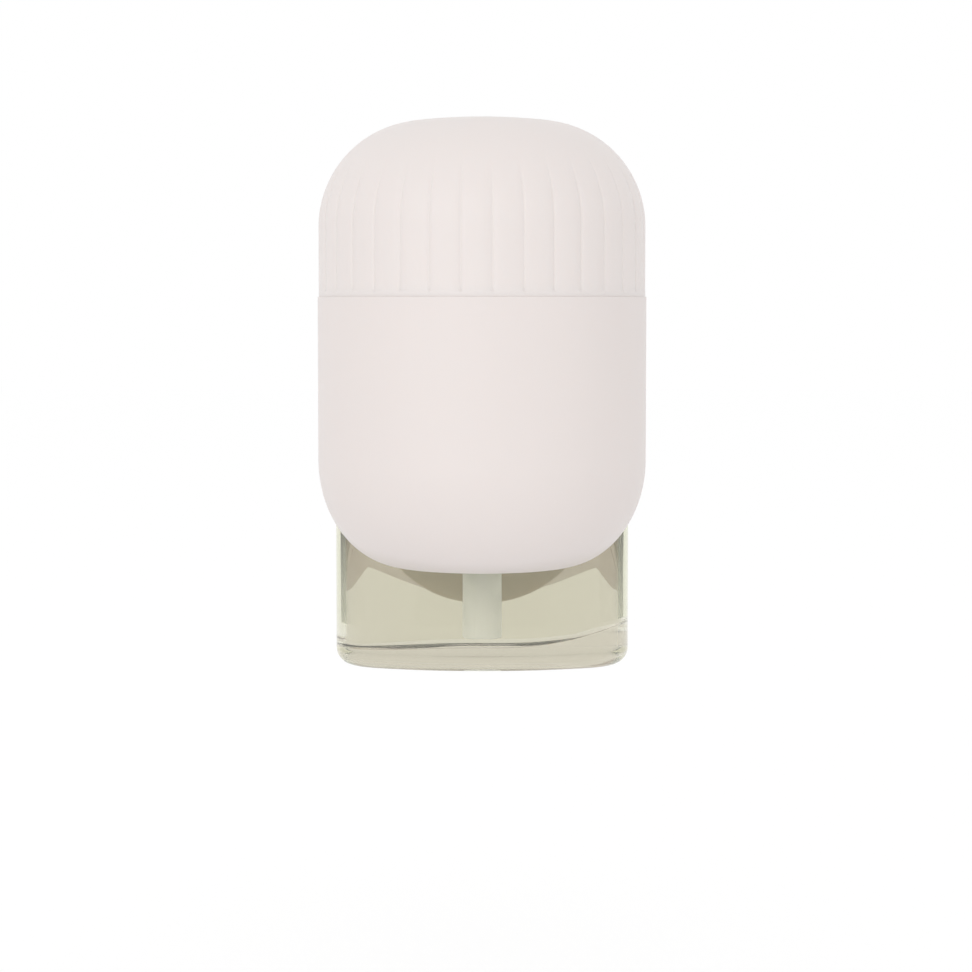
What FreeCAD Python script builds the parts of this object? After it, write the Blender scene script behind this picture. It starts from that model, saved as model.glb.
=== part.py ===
import FreeCAD, Part
import math
import os
import Sketcher

# Plug-in scented oil warmer: a capsule housing that plugs into a wall outlet and warms the wick
# of a glass refill. Millimetres, +Z up. The origin is on the plug's axis in the face of the
# outlet, +Y goes into the wall and +X is the viewer's right.

SIZES = {
    # capsule housing
    "shell_radius": 29.2,
    "seam_step": 0.2,
    "shell_wall": 1.8,
    "axis_setback": 37.0,
    "back_gap": 2.0,
    "rear_rounding": 7.0,
    "seam_height": 41.5,
    "capsule_bottom": -6.5,
    "lower_corner_width": 15.2,
    "lower_corner_height": 19.0,
    "dome_corner": 18.9,
    "crown_rise": 0.6,
    "top_height": 73.3,
    "split_setback": 20.0,
    "body_underside": 8.0,
    "underside_rounding": 8.0,
    "cut_overrun": 2.0,
    "slip_gap": 0.3,
    "press_gap": 0.05,
    # flutes of the cap
    "flute_pitch": 5.41,
    "flute_offset": 1.8,
    "flute_width": 0.8,
    "flute_depth": 0.2,
    "flute_fade": 0.24,
    "flute_start": 0.9,
    # tongue of the cap
    "tongue_length": 3.0,
    "tongue_wall": 1.25,
    "tongue_root": 2.0,
    # refill bottle
    "bottle_setback": 28.3,
    "bottle_width": 53.3,
    "bottle_depth": 28.0,
    "bottle_face_radius": 50.0,
    "bottle_bottom": -25.3,
    "bottle_shoulder": 9.0,
    "bottle_heel_radius": 3.0,
    "bottle_shoulder_radius": 3.5,
    "glass_wall": 1.9,
    "glass_base": 4.2,
    "glass_inner_radius": 2.0,
    "push_up_radius": 60.0,
    "push_up_height": 1.0,
    "neck_radius": 8.5,
    "neck_bore": 6.5,
    "neck_top": 16.5,
    "oil_level": 2.5,
    # bay for the refill
    "bay_gap": 0.8,
    "bay_headroom": 1.4,
    # wick and its holder
    "wick_radius": 3.2,
    "wick_length": 50.6,
    "wick_foot_gap": 1.0,
    "holder_depth": 4.0,
    "holder_flange": 1.5,
    "holder_tube_wall": 1.2,
    "holder_tube_rise": 1.2,
    "collar_wall": 1.8,
    "collar_height": 5.0,
    "collar_edge": 0.6,
    # chassis
    "deck_height": 20.0,
    "deck_thickness": 2.0,
    "deck_margin": 4.8,
    "deck_front": 13.7,
    "deck_back": 13.8,
    "deck_hole_gap": 2.0,
    "flange_drop": 5.5,
    "flange_thickness": 1.5,
    "chassis_screw_inset": 8.0,
    "gusset_length": 9.0,
    # neck clip
    "clip_wall": 1.4,
    "clip_ring_height": 2.4,
    "clip_finger_length": 5.0,
    "clip_finger_width": 6.0,
    "clip_bump": 0.6,
    "clip_bump_height": 1.2,
    # heater
    "heater_gap": 1.4,
    "heater_radius": 10.1,
    "heater_height": 7.8,
    "carrier_wall": 1.2,
    "carrier_floor": 1.2,
    "carrier_rim": 1.3,
    "resistor_radius": 1.6,
    "resistor_length": 6.5,
    "fuse_radius": 1.2,
    "fuse_length": 6.0,
    "terminal_radius": 0.8,
    "terminal_length": 2.7,
    "terminal_reach": 1.8,
    "terminal_span": 12.8,
    "terminal_rise": 4.0,
    # chimney
    "chimney_wall": 1.2,
    "chimney_flange": 1.0,
    "chimney_foot_radius": 9.5,
    "chimney_mouth_radius": 5.8,
    "chimney_mouth_gap": 0.5,
    # vent in the top of the cap
    "vent_setback": 31.0,
    "vent_width": 15.0,
    "vent_length": 12.0,
    "vent_corner": 2.5,
    "vent_ledge": 0.8,
    "vent_rim": 1.5,
    "vent_rim_depth": 1.0,
    "grille_thickness": 1.6,
    "grille_slot": 1.8,
    "grille_pitch": 3.4,
    "grille_border": 1.6,
    "vent_fit": 0.15,
    # vent slider
    "slider_travel": 7.0,
    "gate_width": 16.0,
    "gate_length": 15.5,
    "gate_thickness": 1.0,
    "gate_lead": 1.0,
    "rail_width": 2.0,
    "rail_lip": 1.1,
    "knob_width": 8.0,
    "knob_length": 4.4,
    "knob_height": 0.9,
    "knob_gap": 0.2,
    "knob_stem": 3.5,
    "knob_stem_width": 3.8,
    "knob_setback": 12.75,
    # plug
    "turret_radius": 11.0,
    "turret_gap": 0.3,
    "turret_chamfer": 0.6,
    "turret_flange": 1.7,
    "turret_flange_thickness": 1.9,
    "boss_radius": 15.0,
    "boss_front": 12.2,
    "blade_spacing": 12.7,
    "blade_reach": 16.5,
    "blade_thickness": 1.5,
    "line_blade_width": 6.35,
    "neutral_blade_width": 7.92,
    "blade_hole_radius": 1.6,
    "blade_hole_setback": 4.6,
    "blade_tip": 0.5,
    "tail_reach": 0.7,
    "tail_width": 4.0,
    "detent_notch": 0.8,
    # contacts
    "contact_gap": 0.3,
    "contact_thickness": 0.6,
    "line_ring_radius": 9.0,
    "neutral_ring_radius": 4.0,
    "contact_ring_width": 2.0,
    "tab_width": 2.4,
    "tab_reach": 1.0,
    "retainer_thickness": 1.6,
    "retainer_gap": 0.4,
    "retainer_ear_height": 7.4,
    "retainer_ear_margin": 3.0,
    "retainer_neck_width": 12.0,
    "lead_pass_width": 16.0,
    "retainer_screw_inset": 7.0,
    "retainer_screw_rise": 4.8,
    # plug cover, spring and leads
    "cover_thickness": 1.4,
    "cover_lip": 1.1,
    "cover_lip_depth": 1.4,
    "spring_thickness": 0.5,
    "spring_width": 1.4,
    "lead_radius": 0.8,
    "lead_bend": 4.0,
    # screws and posts
    "screw_radius": 1.35,
    "screw_head_radius": 2.5,
    "screw_head_height": 1.6,
    "screw_drive_width": 0.7,
    "screw_drive_depth": 0.7,
    "screw_clearance": 0.25,
    "post_wall": 1.6,
    "post_rib": 1.6,
    "housing_screw_span": 42.0,
    "housing_screw_rise": 4.4,
    "housing_screw_drop": 7.5,
    "housing_screw_recess": 2.4,
    "housing_screw_length": 21.0,
    "short_screw_length": 5.5,
}


class Size:
    """A length together with the sheet formula that it comes from."""

    def __init__(self, value, formula):
        self.value = float(value)
        self.formula = formula

    def __float__(self):
        return self.value

    def __add__(self, other):
        return Size(self.value + float(other), f"({self.formula} + {formula_of(other)})")

    def __sub__(self, other):
        return Size(self.value - float(other), f"({self.formula} - {formula_of(other)})")

    def __rsub__(self, other):
        return Size(float(other) - self.value, f"({formula_of(other)} - {self.formula})")

    def __mul__(self, other):
        return Size(self.value * float(other), f"({self.formula} * {formula_of(other)})")

    def __truediv__(self, other):
        return Size(self.value / float(other), f"({self.formula} / {formula_of(other)})")

    def __neg__(self):
        return Size(-self.value, f"(0 - {self.formula})")

    __radd__ = __add__
    __rmul__ = __mul__


def formula_of(number):
    """The formula of a size, or the digits of a plain number."""
    return number.formula if isinstance(number, Size) else repr(float(number))


class Sheet:
    """The spreadsheet of driving dimensions; each alias reads as a size."""

    def __init__(self, document):
        self.cells = document.addObject("Spreadsheet::Sheet", "sizes")
        for row, (alias, value) in enumerate(SIZES.items(), start=1):
            self.cells.set(f"A{row}", alias)
            self.cells.set(f"B{row}", str(value))
            self.cells.setAlias(f"B{row}", alias)

    def __getattr__(self, alias):
        return Size(SIZES[alias], f"sizes.{alias}")


doc = FreeCAD.newDocument("oil_warmer")
mm = Sheet(doc)
doc.recompute()
nodes = {}

# Places that several pieces share, worked out from the sheet.
axis_y = -mm.axis_setback
back_y = -mm.back_gap
split_y = -mm.split_setback
bottle_y = -mm.bottle_setback
bay_top = mm.bottle_shoulder + mm.bay_headroom
floor_top = bay_top + mm.shell_wall
collar_radius = mm.neck_radius + mm.press_gap + mm.collar_wall
neck_hole_radius = collar_radius + mm.bay_gap
housing_screw_x = mm.housing_screw_span / 2
housing_screw_low = floor_top + mm.housing_screw_rise
housing_screw_high = mm.seam_height - mm.housing_screw_drop
deck_top = mm.deck_height + mm.deck_thickness
flange_top = mm.seam_height - mm.flange_drop
chassis_screw_x = housing_screw_x - mm.chassis_screw_inset
chassis_screw_z = (deck_top + flange_top) / 2
retainer_screw_x = housing_screw_x - mm.retainer_screw_inset
retainer_screw_z = floor_top + mm.retainer_screw_rise
deck_back_y = bottle_y + mm.deck_back
wick_hole_radius = mm.wick_radius + mm.heater_gap
carrier_radius = mm.heater_radius + mm.bay_gap / 4
carrier_top = deck_top + mm.carrier_floor + mm.heater_height + mm.carrier_rim
back_wall_y = back_y - mm.shell_wall
turret_flange_radius = mm.turret_radius + mm.turret_flange
flange_back_y = back_wall_y - mm.turret_gap
flange_front_y = flange_back_y - mm.turret_flange_thickness
tail_y = flange_front_y - mm.tail_reach
ring_y = tail_y - mm.contact_gap
retainer_y = ring_y - mm.contact_thickness
retainer_front_y = retainer_y - mm.retainer_thickness
boss_y = -mm.boss_front
lead_y = retainer_front_y - mm.tab_reach - mm.lead_radius
lead_span = mm.terminal_span / 2
terminal_z = deck_top + mm.terminal_rise
vent_y = -mm.vent_setback
ledge_z = mm.top_height - mm.crown_rise / 2 - mm.grille_thickness - mm.knob_gap
gate_top = ledge_z - mm.vent_rim_depth - mm.slip_gap
gate_bottom = gate_top - mm.gate_thickness
gate_front_y = vent_y + mm.vent_length / 2 + mm.gate_lead
rail_bottom = gate_bottom - mm.slip_gap - mm.rail_lip
post_radius = mm.screw_radius + mm.screw_clearance + mm.post_wall

# How far up the dome the flute cutters stand, past where the flutes run out.
flute_height_share = 7 / 8

# How much of a screw's head its cross recess spans.
drive_share = 3 / 5


def point(x, y, z):
    """A vector from sizes."""
    return FreeCAD.Vector(float(x), float(y), float(z))


def box(low, high):
    """A block between two corners."""
    return Part.makeBox(
        float(high[0]) - float(low[0]),
        float(high[1]) - float(low[1]),
        float(high[2]) - float(low[2]),
        point(*low),
    )


def rod(radius, start, end):
    """A round rod between two points."""
    span = point(*end) - point(*start)
    return Part.makeCylinder(float(radius), span.Length, point(*start), span)


def unite(shapes):
    """One shape from several that touch."""
    return shapes[0].multiFuse(shapes[1:]).removeSplitter()


def arc_between(start, centre, end):
    """The shorter arc about a centre from one point to another."""
    middle = (start - centre) + (end - centre)
    middle.normalize()
    return Part.Arc(start, centre + middle * (start - centre).Length, end).toShape()


def quarter_ellipse(start, corner, end):
    """An exact quarter ellipse inside the corner of its box."""
    curve = Part.BezierCurve()
    curve.setPoles([start, corner, end])
    curve.setWeight(2, math.sqrt(1 / 2))
    return curve.toShape()


def capsule_edges(inset):
    """Right half of the housing's front outline, drawn in by an inset, from the foot to the crown."""
    half_width = mm.shell_radius - inset
    foot = mm.capsule_bottom + inset
    corner_x = mm.shell_radius - mm.lower_corner_width
    corner_z = mm.capsule_bottom + mm.lower_corner_height
    dome_x = mm.shell_radius - mm.dome_corner
    dome_z = mm.top_height - mm.crown_rise - mm.dome_corner
    rise = mm.crown_rise
    crown = (dome_x * dome_x + 2 * mm.dome_corner * rise + rise * rise) / (2 * rise)
    crown_centre = point(0, axis_y, mm.top_height - crown)
    dome_centre = point(dome_x, axis_y, dome_z)
    outward = dome_centre - crown_centre
    outward.normalize()
    meeting = dome_centre + outward * float(mm.dome_corner - inset)
    low = point(corner_x, axis_y, foot)
    low_corner = point(half_width, axis_y, foot)
    side_low = point(half_width, axis_y, corner_z)
    side_high = point(half_width, axis_y, dome_z)
    crown_top = point(0, axis_y, mm.top_height - inset)
    return [
        Part.makeLine(point(0, axis_y, foot), low),
        quarter_ellipse(low, low_corner, side_low),
        Part.makeLine(side_low, side_high),
        arc_between(side_high, dome_centre, meeting),
        arc_between(meeting, crown_centre, crown_top),
    ]


def half_round(edges):
    """The front half of a body turned about the housing's upright axis."""
    ends = [edges[0].Vertexes[0].Point, edges[-1].Vertexes[-1].Point]
    wire = Part.Wire(edges + [Part.makeLine(ends[1], ends[0])])
    return Part.Face(wire).revolve(point(0, axis_y, 0), point(0, 0, 1), -180)


def straight_back(edges, end_y):
    """The same outline, both sides of it, run straight back to a plane."""
    mirrored = [edge.mirror(point(0, 0, 0), point(1, 0, 0)) for edge in edges]
    outline = Part.Wire(Part.__sortEdges__(edges + mirrored))
    return Part.Face(outline).extrude(point(0, end_y - axis_y, 0))


def capsule(inset):
    """The housing's outer form drawn in by an inset: round in front, straight sided behind."""
    edges = capsule_edges(inset)
    end_y = back_y - inset
    rear = straight_back(edges, end_y)
    rim = [edge for edge in rear.Edges if abs(edge.BoundBox.YMin - float(end_y)) < float(mm.press_gap)
           and edge.BoundBox.YLength < float(mm.press_gap)]
    rear = rear.makeFillet(float(mm.rear_rounding - inset), rim)
    return unite([half_round(edges), rear])


def everywhere(z_low, z_high):
    """A block as wide and deep as the whole housing between two heights."""
    side = mm.shell_radius + mm.cut_overrun
    return box((-side, axis_y - side, z_low), (side, mm.cut_overrun, z_high))


def bottle_outline(offset, z):
    """The refill's plan, two bowed faces with round ends, moved out by an offset."""
    half_width = mm.bottle_width / 2
    half_depth = mm.bottle_depth / 2
    bow = mm.bottle_face_radius
    bow_back = bow - half_depth
    end_radius = (bow * bow - half_width * half_width - bow_back * bow_back) / (2 * (bow - half_width))
    end_x = half_width - end_radius
    reach = float(end_radius + offset)
    right_end = point(end_x, bottle_y, z)
    left_end = point(-end_x, bottle_y, z)
    front_right = right_end + (right_end - point(0, bottle_y + bow_back, z)).normalize() * reach
    back_right = right_end + (right_end - point(0, bottle_y - bow_back, z)).normalize() * reach
    front_left = left_end + (left_end - point(0, bottle_y + bow_back, z)).normalize() * reach
    back_left = left_end + (left_end - point(0, bottle_y - bow_back, z)).normalize() * reach
    front = point(0, bottle_y - half_depth - offset, z)
    back = point(0, bottle_y + half_depth + offset, z)
    right = point(half_width + offset, bottle_y, z)
    left = point(-half_width - offset, bottle_y, z)
    return Part.Wire([
        Part.Arc(front_left, front, front_right).toShape(),
        Part.Arc(front_right, right, back_right).toShape(),
        Part.Arc(back_right, back, back_left).toShape(),
        Part.Arc(back_left, left, front_left).toShape(),
    ])


def bottle_prism(offset, z_low, z_high):
    """A solid of the refill's plan between two heights."""
    return Part.Face(bottle_outline(offset, z_low)).extrude(point(0, 0, z_high - z_low))


def edges_at(solid, z):
    """The edges of a solid that lie flat at one height."""
    near = float(mm.press_gap)
    return [edge for edge in solid.Edges
            if abs(edge.BoundBox.ZMin - float(z)) < near and edge.BoundBox.ZLength < near]


def add_shape(name, shape):
    """Put a finished shape in the document as the sub-part of that name."""
    feature = doc.addObject("Part::Feature", name)
    feature.Shape = shape
    feature.Label = name
    nodes[name] = feature
    return feature


def keep(name, thing):
    """Name a document object as a finished sub-part."""
    thing.Label = name
    nodes[name] = thing
    return thing


def bind(thing, **lengths):
    """Tie properties of an object to the sheet; a double underscore stands for a dot."""
    for key, length in lengths.items():
        path = key.replace("__", ".")
        thing.setExpression(path, formula_of(length))


def place(thing, x, y, z, along="z"):
    """Tie an object's place to the sheet, with its own Z along world Z or Y."""
    if along == "y":
        thing.Placement = FreeCAD.Placement(point(0, 0, 0), FreeCAD.Rotation(point(1, 0, 0), -90))
    bind(thing, Placement__Base__x=x, Placement__Base__y=y, Placement__Base__z=z)


def cylinder(name, radius, height, x, y, z, along="z"):
    """A cylinder whose sizes and place come from the sheet."""
    thing = doc.addObject("Part::Cylinder", name)
    bind(thing, Radius=radius, Height=height)
    place(thing, x, y, z, along)
    return thing


def block(name, low, high):
    """A box between two corners whose sizes and place come from the sheet."""
    thing = doc.addObject("Part::Box", name)
    bind(thing, Length=high[0] - low[0], Width=high[1] - low[1], Height=high[2] - low[2])
    place(thing, *low)
    return thing


def cut(name, base, tool):
    """One object cut by another."""
    thing = doc.addObject("Part::Cut", name)
    thing.Base = base
    thing.Tool = tool
    return thing


def fuse(name, pieces):
    """Several objects fused into one."""
    thing = doc.addObject("Part::MultiFuse", name)
    thing.Shapes = pieces
    return thing


def group(name, pieces):
    """Several separate solids kept as one sub-part."""
    thing = doc.addObject("Part::Compound", name)
    thing.Links = pieces
    return keep(name, thing)


def body_plane(body, role):
    """An origin plane of a body, found by its role."""
    return next(item for item in body.Origin.OriginFeatures if item.Role == role)


def draw_outline(sketch, corners):
    """Straight lines through corners, each corner held to the sheet by two distances."""
    flat = [FreeCAD.Vector(float(across), float(up), 0) for across, up in corners]
    for start, end in zip(flat, flat[1:] + flat[:1]):
        sketch.addGeometry(Part.LineSegment(start, end), False)
    last = len(corners) - 1
    for index, (across, up) in enumerate(corners):
        before = last if index == 0 else index - 1
        sketch.addConstraint(Sketcher.Constraint("Coincident", before, 2, index, 1))
        for kind, length in (("DistanceX", across), ("DistanceY", up)):
            if isinstance(length, Size):
                row = sketch.addConstraint(Sketcher.Constraint(kind, -1, 1, index, 1, float(length)))
                sketch.setExpression(f"Constraints[{row}]", length.formula)
            else:
                line = -2 if kind == "DistanceX" else -1
                sketch.addConstraint(Sketcher.Constraint("PointOnObject", index, 1, line))


def rectangle(left, right, low, high):
    """The four corners of a rectangle for draw_outline."""
    return [(left, low), (right, low), (right, high), (left, high)]


def new_sketch(body, name, role):
    """A sketch on one of a body's own origin planes."""
    sketch = body.newObject("Sketcher::SketchObject", name)
    sketch.AttachmentSupport = (body_plane(body, role), [""])
    sketch.MapMode = "FlatFace"
    return sketch


def turned_body(name, corners):
    """A body turned about its own Z from a half section given as radius and height."""
    body = doc.addObject("PartDesign::Body", name)
    sketch = new_sketch(body, name + "_section", "XZ_Plane")
    draw_outline(sketch, corners)
    turn = body.newObject("PartDesign::Revolution", name + "_turn")
    turn.Profile = sketch
    turn.ReferenceAxis = (sketch, ["V_Axis"])
    turn.Angle = 360
    sketch.Visibility = False
    return body


def underside_cut():
    """What is taken away under the rear of the housing, with a round where it meets the bowl."""
    side = mm.shell_radius + mm.cut_overrun
    bottom = mm.capsule_bottom - mm.cut_overrun
    corner = mm.underside_rounding
    start = point(-side, axis_y, mm.body_underside - corner)
    end = point(-side, axis_y + corner, mm.body_underside)
    centre = point(-side, axis_y + corner, mm.body_underside - corner)
    far_top = point(-side, mm.cut_overrun, mm.body_underside)
    far_low = point(-side, mm.cut_overrun, bottom)
    near_low = point(-side, axis_y, bottom)
    wire = Part.Wire([
        Part.makeLine(near_low, start),
        arc_between(start, centre, end),
        Part.makeLine(end, far_top),
        Part.makeLine(far_top, far_low),
        Part.makeLine(far_low, near_low),
    ])
    return Part.Face(wire).extrude(point(side * 2, 0, 0))


def lower_body():
    """Both lower halves of the housing in one piece, with the refill's bay and the neck hole."""
    outer = capsule(0).common(everywhere(mm.capsule_bottom - mm.cut_overrun, mm.seam_height))
    side = mm.shell_radius + mm.cut_overrun
    low = mm.capsule_bottom - mm.cut_overrun
    floor = bottle_prism(mm.bay_gap + mm.shell_wall, low, floor_top)
    rear_floor = box((-side, bottle_y, low), (side, mm.cut_overrun, floor_top))
    hollow = capsule(mm.shell_wall).cut(floor).cut(rear_floor)
    bay = bottle_prism(mm.bay_gap, low, bay_top)
    neck_hole = rod(neck_hole_radius, (0, bottle_y, low), (0, bottle_y, floor_top + mm.cut_overrun))
    return outer.cut(hollow).cut(underside_cut()).cut(bay).cut(neck_hole)


def housing_posts(y_low, y_high):
    """The four screw posts between two depths, each with a rib to the side wall."""
    posts = []
    for side in (-1, 1):
        x = housing_screw_x * side
        wall_x = (mm.shell_radius - mm.shell_wall / 2) * side
        for z in (housing_screw_low, housing_screw_high):
            posts.append(rod(post_radius, (x, y_low, z), (x, y_high, z)))
            left, right = sorted((float(x), float(wall_x)))
            rib = mm.post_rib / 2
            posts.append(box((left, y_low, z - rib), (right, y_high, z + rib)))
    return posts


def housing_holes(radius, y_low, y_high):
    """Four round cutters at the housing screws."""
    holes = []
    for side in (-1, 1):
        x = housing_screw_x * side
        for z in (housing_screw_low, housing_screw_high):
            holes.append(rod(radius, (x, y_low, z), (x, y_high, z)))
    return holes


def front_shell(lower):
    """The smooth front shell with its bowl, and the blind posts that take the housing screws."""
    side = mm.shell_radius + mm.cut_overrun
    low = mm.capsule_bottom - mm.cut_overrun
    ahead = box((-side, axis_y - side, low), (side, split_y, mm.seam_height))
    post_end = head_y() - mm.housing_screw_length - mm.post_wall
    shell = unite([lower.common(ahead)] + housing_posts(post_end, split_y))
    pilot = mm.screw_radius + mm.press_gap
    holes = housing_holes(pilot, post_end + mm.post_wall / 2, split_y + mm.cut_overrun)
    add_shape("front_shell", shell.cut(holes))


def head_y():
    """Where the heads of the housing screws bear."""
    return back_y - mm.housing_screw_recess - mm.screw_head_height


def rear_housing(lower):
    """The rear half: the back wall with the round plug boss, its pass for the leads and the posts."""
    side = mm.shell_radius + mm.cut_overrun
    low = mm.capsule_bottom - mm.cut_overrun
    behind = box((-side, split_y, low), (side, mm.cut_overrun, mm.seam_height))
    boss = rod(mm.boss_radius, (0, boss_y, 0), (0, back_y, 0))
    boss = boss.common(box((-side, boss_y, -side), (side, back_y, floor_top)))
    shell = unite([lower.common(behind), boss] + housing_posts(split_y, back_wall_y))
    shell = shell.common(unite([capsule(0), boss]))
    room = rod(mm.boss_radius - mm.shell_wall, (0, boss_y, 0), (0, back_wall_y, 0))
    pass_x = mm.lead_pass_width / 2
    lead_pass = box((-pass_x, boss_y, mm.boss_radius / 2), (pass_x, back_wall_y, floor_top + mm.cut_overrun))
    turret_hole = rod(mm.turret_radius + mm.turret_gap, (0, back_wall_y, 0), (0, mm.cut_overrun, 0))
    shell = shell.cut([room, lead_pass, turret_hole])
    shell = unite([shell] + short_posts())
    shell = shell.cut(housing_holes(mm.screw_radius + mm.screw_clearance, split_y, back_y))
    recess = mm.screw_head_radius + mm.screw_clearance
    shell = shell.cut(housing_holes(recess, head_y(), mm.cut_overrun))
    add_shape("rear_housing", shell.cut(short_post_holes()))


def short_post_places():
    """Where the short posts stand on the back wall: x, z and the depth of the post's front."""
    places = []
    for side in (-1, 1):
        places.append((chassis_screw_x * side, chassis_screw_z, deck_back_y))
        places.append((retainer_screw_x * side, retainer_screw_z, retainer_y))
    return places


def short_posts():
    """The posts for the chassis and the contact retainer."""
    return [rod(post_radius, (x, front_y, z), (x, back_wall_y, z)) for x, z, front_y in short_post_places()]


def short_post_holes():
    """The blind pilot holes in the short posts."""
    pilot = mm.screw_radius + mm.press_gap
    holes = []
    for x, z, front_y in short_post_places():
        end_y = min(float(front_y + mm.short_screw_length), float(back_y - mm.shell_wall / 2))
        holes.append(rod(pilot, (x, front_y - mm.cut_overrun, z), (x, end_y, z)))
    return holes


def flute_floor():
    """What the flutes leave: a form just inside the cap that meets its surface on the dome."""
    radius = mm.shell_radius - mm.seam_step - mm.flute_depth
    dome_x = mm.shell_radius - mm.dome_corner
    dome_z = mm.top_height - mm.crown_rise - mm.dome_corner
    top = dome_z + mm.dome_corner - mm.seam_step + mm.flute_fade
    foot = mm.seam_height - mm.cut_overrun
    edges = [
        Part.makeLine(point(0, axis_y, foot), point(radius, axis_y, foot)),
        Part.makeLine(point(radius, axis_y, foot), point(radius, axis_y, dome_z)),
        quarter_ellipse(
            point(radius, axis_y, dome_z),
            point(radius, axis_y, top),
            point(dome_x, axis_y, top),
        ),
        Part.makeLine(point(dome_x, axis_y, top), point(0, axis_y, top)),
    ]
    return unite([half_round(edges), straight_back(edges, back_y)])


def flute_slabs():
    """Thin blades that stand where each flute runs, round the front and along both sides."""
    reach = mm.shell_radius + mm.cut_overrun
    half = mm.flute_width / 2
    foot = mm.seam_height + mm.flute_start
    dome_z = mm.top_height - mm.crown_rise - mm.dome_corner
    top = dome_z + mm.dome_corner * flute_height_share
    step = math.degrees(float(mm.flute_pitch) / float(mm.shell_radius))
    first = math.degrees(float(mm.flute_offset) / float(mm.shell_radius))
    slabs = []
    count = int(90 / step)
    for index in range(-count - 1, count + 1):
        angle = first + index * step
        if abs(angle) < 90:
            slab = box((-half, axis_y - reach, foot), (half, axis_y, top))
            slab.rotate(point(0, axis_y, 0), point(0, 0, 1), angle)
            slabs.append(slab)
    side_count = int(float(mm.axis_setback - mm.back_gap - mm.rear_rounding) / float(mm.flute_pitch))
    for index in range(side_count):
        y = axis_y + mm.flute_pitch * (index + 1 / 2)
        slabs.append(box((-reach, y - half, foot), (reach, y + half, top)))
    return slabs


def rounded_block(width, length, corner, y, z_low, z_high):
    """A block with round upright corners, centred on the vent's line."""
    half_x = width / 2
    half_y = length / 2
    blank = box((-half_x, y - half_y, z_low), (half_x, y + half_y, z_high))
    upright = [edge for edge in blank.Edges if edge.BoundBox.ZLength > float(z_high - z_low) / 2]
    return blank.makeFillet(float(corner), upright)


def cap_tongue():
    """The tongue that goes down inside the lower housing, with its root in the cap's wall."""
    outer = mm.shell_wall + mm.vent_fit
    inner = outer + mm.tongue_wall
    tongue = capsule(outer).cut(capsule(inner))
    tongue = tongue.common(everywhere(mm.seam_height - mm.tongue_length, mm.seam_height))
    root = capsule(mm.shell_wall / 2).cut(capsule(inner))
    root = root.common(everywhere(mm.seam_height, mm.seam_height + mm.tongue_root))
    return [tongue, root]


def cap_rails():
    """The two rails under the top that the gate slides in."""
    rails = []
    inner = mm.gate_width / 2 + mm.slip_gap
    outer = inner + mm.rail_width
    lip = mm.gate_width / 2 - mm.rail_lip
    front = gate_front_y - mm.slider_travel - mm.slip_gap
    back = gate_front_y + mm.gate_length + mm.slip_gap
    top = mm.top_height - mm.shell_wall
    for side in (-1, 1):
        low, high = sorted((float(inner) * side, float(outer) * side))
        rails.append(box((low, front, rail_bottom), (high, back, top)))
        low, high = sorted((float(lip) * side, float(outer) * side))
        rails.append(box((low, front, rail_bottom), (high, back, rail_bottom + mm.rail_lip)))
    return rails


def fluted_cap():
    """The fluted cap over the whole top, with the vent's seat, the slider's slot and rails."""
    outer = capsule(mm.seam_step)
    cap = outer.cut(capsule(mm.seam_step + mm.shell_wall))
    cap = cap.common(everywhere(mm.seam_height, mm.top_height + mm.cut_overrun))
    rim_width = mm.vent_width + mm.vent_rim * 2
    rim_length = mm.vent_length + mm.vent_rim * 2
    rim_bottom = ledge_z - mm.vent_rim_depth
    rim_top = mm.top_height - mm.shell_wall
    rim = rounded_block(rim_width, rim_length, mm.vent_corner, vent_y, rim_bottom, rim_top)
    cap = unite([cap, rim] + cap_tongue() + cap_rails())
    over = mm.top_height + mm.cut_overrun
    hole = rounded_block(mm.vent_width, mm.vent_length, mm.vent_corner, vent_y, ledge_z, over)
    throat_width = mm.vent_width - mm.vent_ledge * 2
    throat_length = mm.vent_length - mm.vent_ledge * 2
    throat = rounded_block(throat_width, throat_length, mm.vent_corner, vent_y, rail_bottom, mm.top_height)
    slot_x = mm.knob_stem_width / 2 + mm.slip_gap
    slot_back = -mm.knob_setback + mm.knob_stem / 2 + mm.slip_gap
    slot_front = slot_back - mm.knob_stem - mm.slider_travel - mm.slip_gap * 2
    slot = box((-slot_x, slot_front, gate_top), (slot_x, slot_back, over))
    cap = cap.cut([hole, throat, slot])
    flutes = unite(flute_slabs()).cut(flute_floor())
    add_shape("fluted_cap", cap.cut(flutes))


def vent_grille():
    """The louvred insert in the top."""
    body = doc.addObject("PartDesign::Body", "vent_grille")
    half_x = mm.vent_width / 2 - mm.vent_fit
    half_y = mm.vent_length / 2 - mm.vent_fit
    sketch = new_sketch(body, "grille_outline", "XY_Plane")
    draw_outline(sketch, rectangle(-half_x, half_x, -half_y, half_y))
    pad = body.newObject("PartDesign::Pad", "grille_pad")
    pad.Profile = sketch
    bind(pad, Length=mm.grille_thickness)
    doc.recompute()
    corners = [f"Edge{index + 1}" for index, edge in enumerate(pad.Shape.Edges)
               if edge.BoundBox.ZLength > float(mm.grille_thickness) / 2]
    fillet = body.newObject("PartDesign::Fillet", "grille_corners")
    fillet.Base = (pad, corners)
    bind(fillet, Radius=mm.vent_corner - mm.vent_fit)
    slot_x = half_x - mm.grille_border
    slot_y = mm.grille_slot / 2
    first = -mm.grille_pitch
    for index in range(3):
        y = first + mm.grille_pitch * index
        slot = new_sketch(body, f"grille_slot_outline_{index + 1}", "XY_Plane")
        draw_outline(slot, rectangle(-slot_x, slot_x, y - slot_y, y + slot_y))
        pocket = body.newObject("PartDesign::Pocket", f"grille_slot_{index + 1}")
        pocket.Profile = slot
        pocket.Reversed = True
        bind(pocket, Length=mm.grille_thickness)
        slot.Visibility = False
    place(body, 0, vent_y, ledge_z)
    keep("vent_grille", body)


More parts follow.
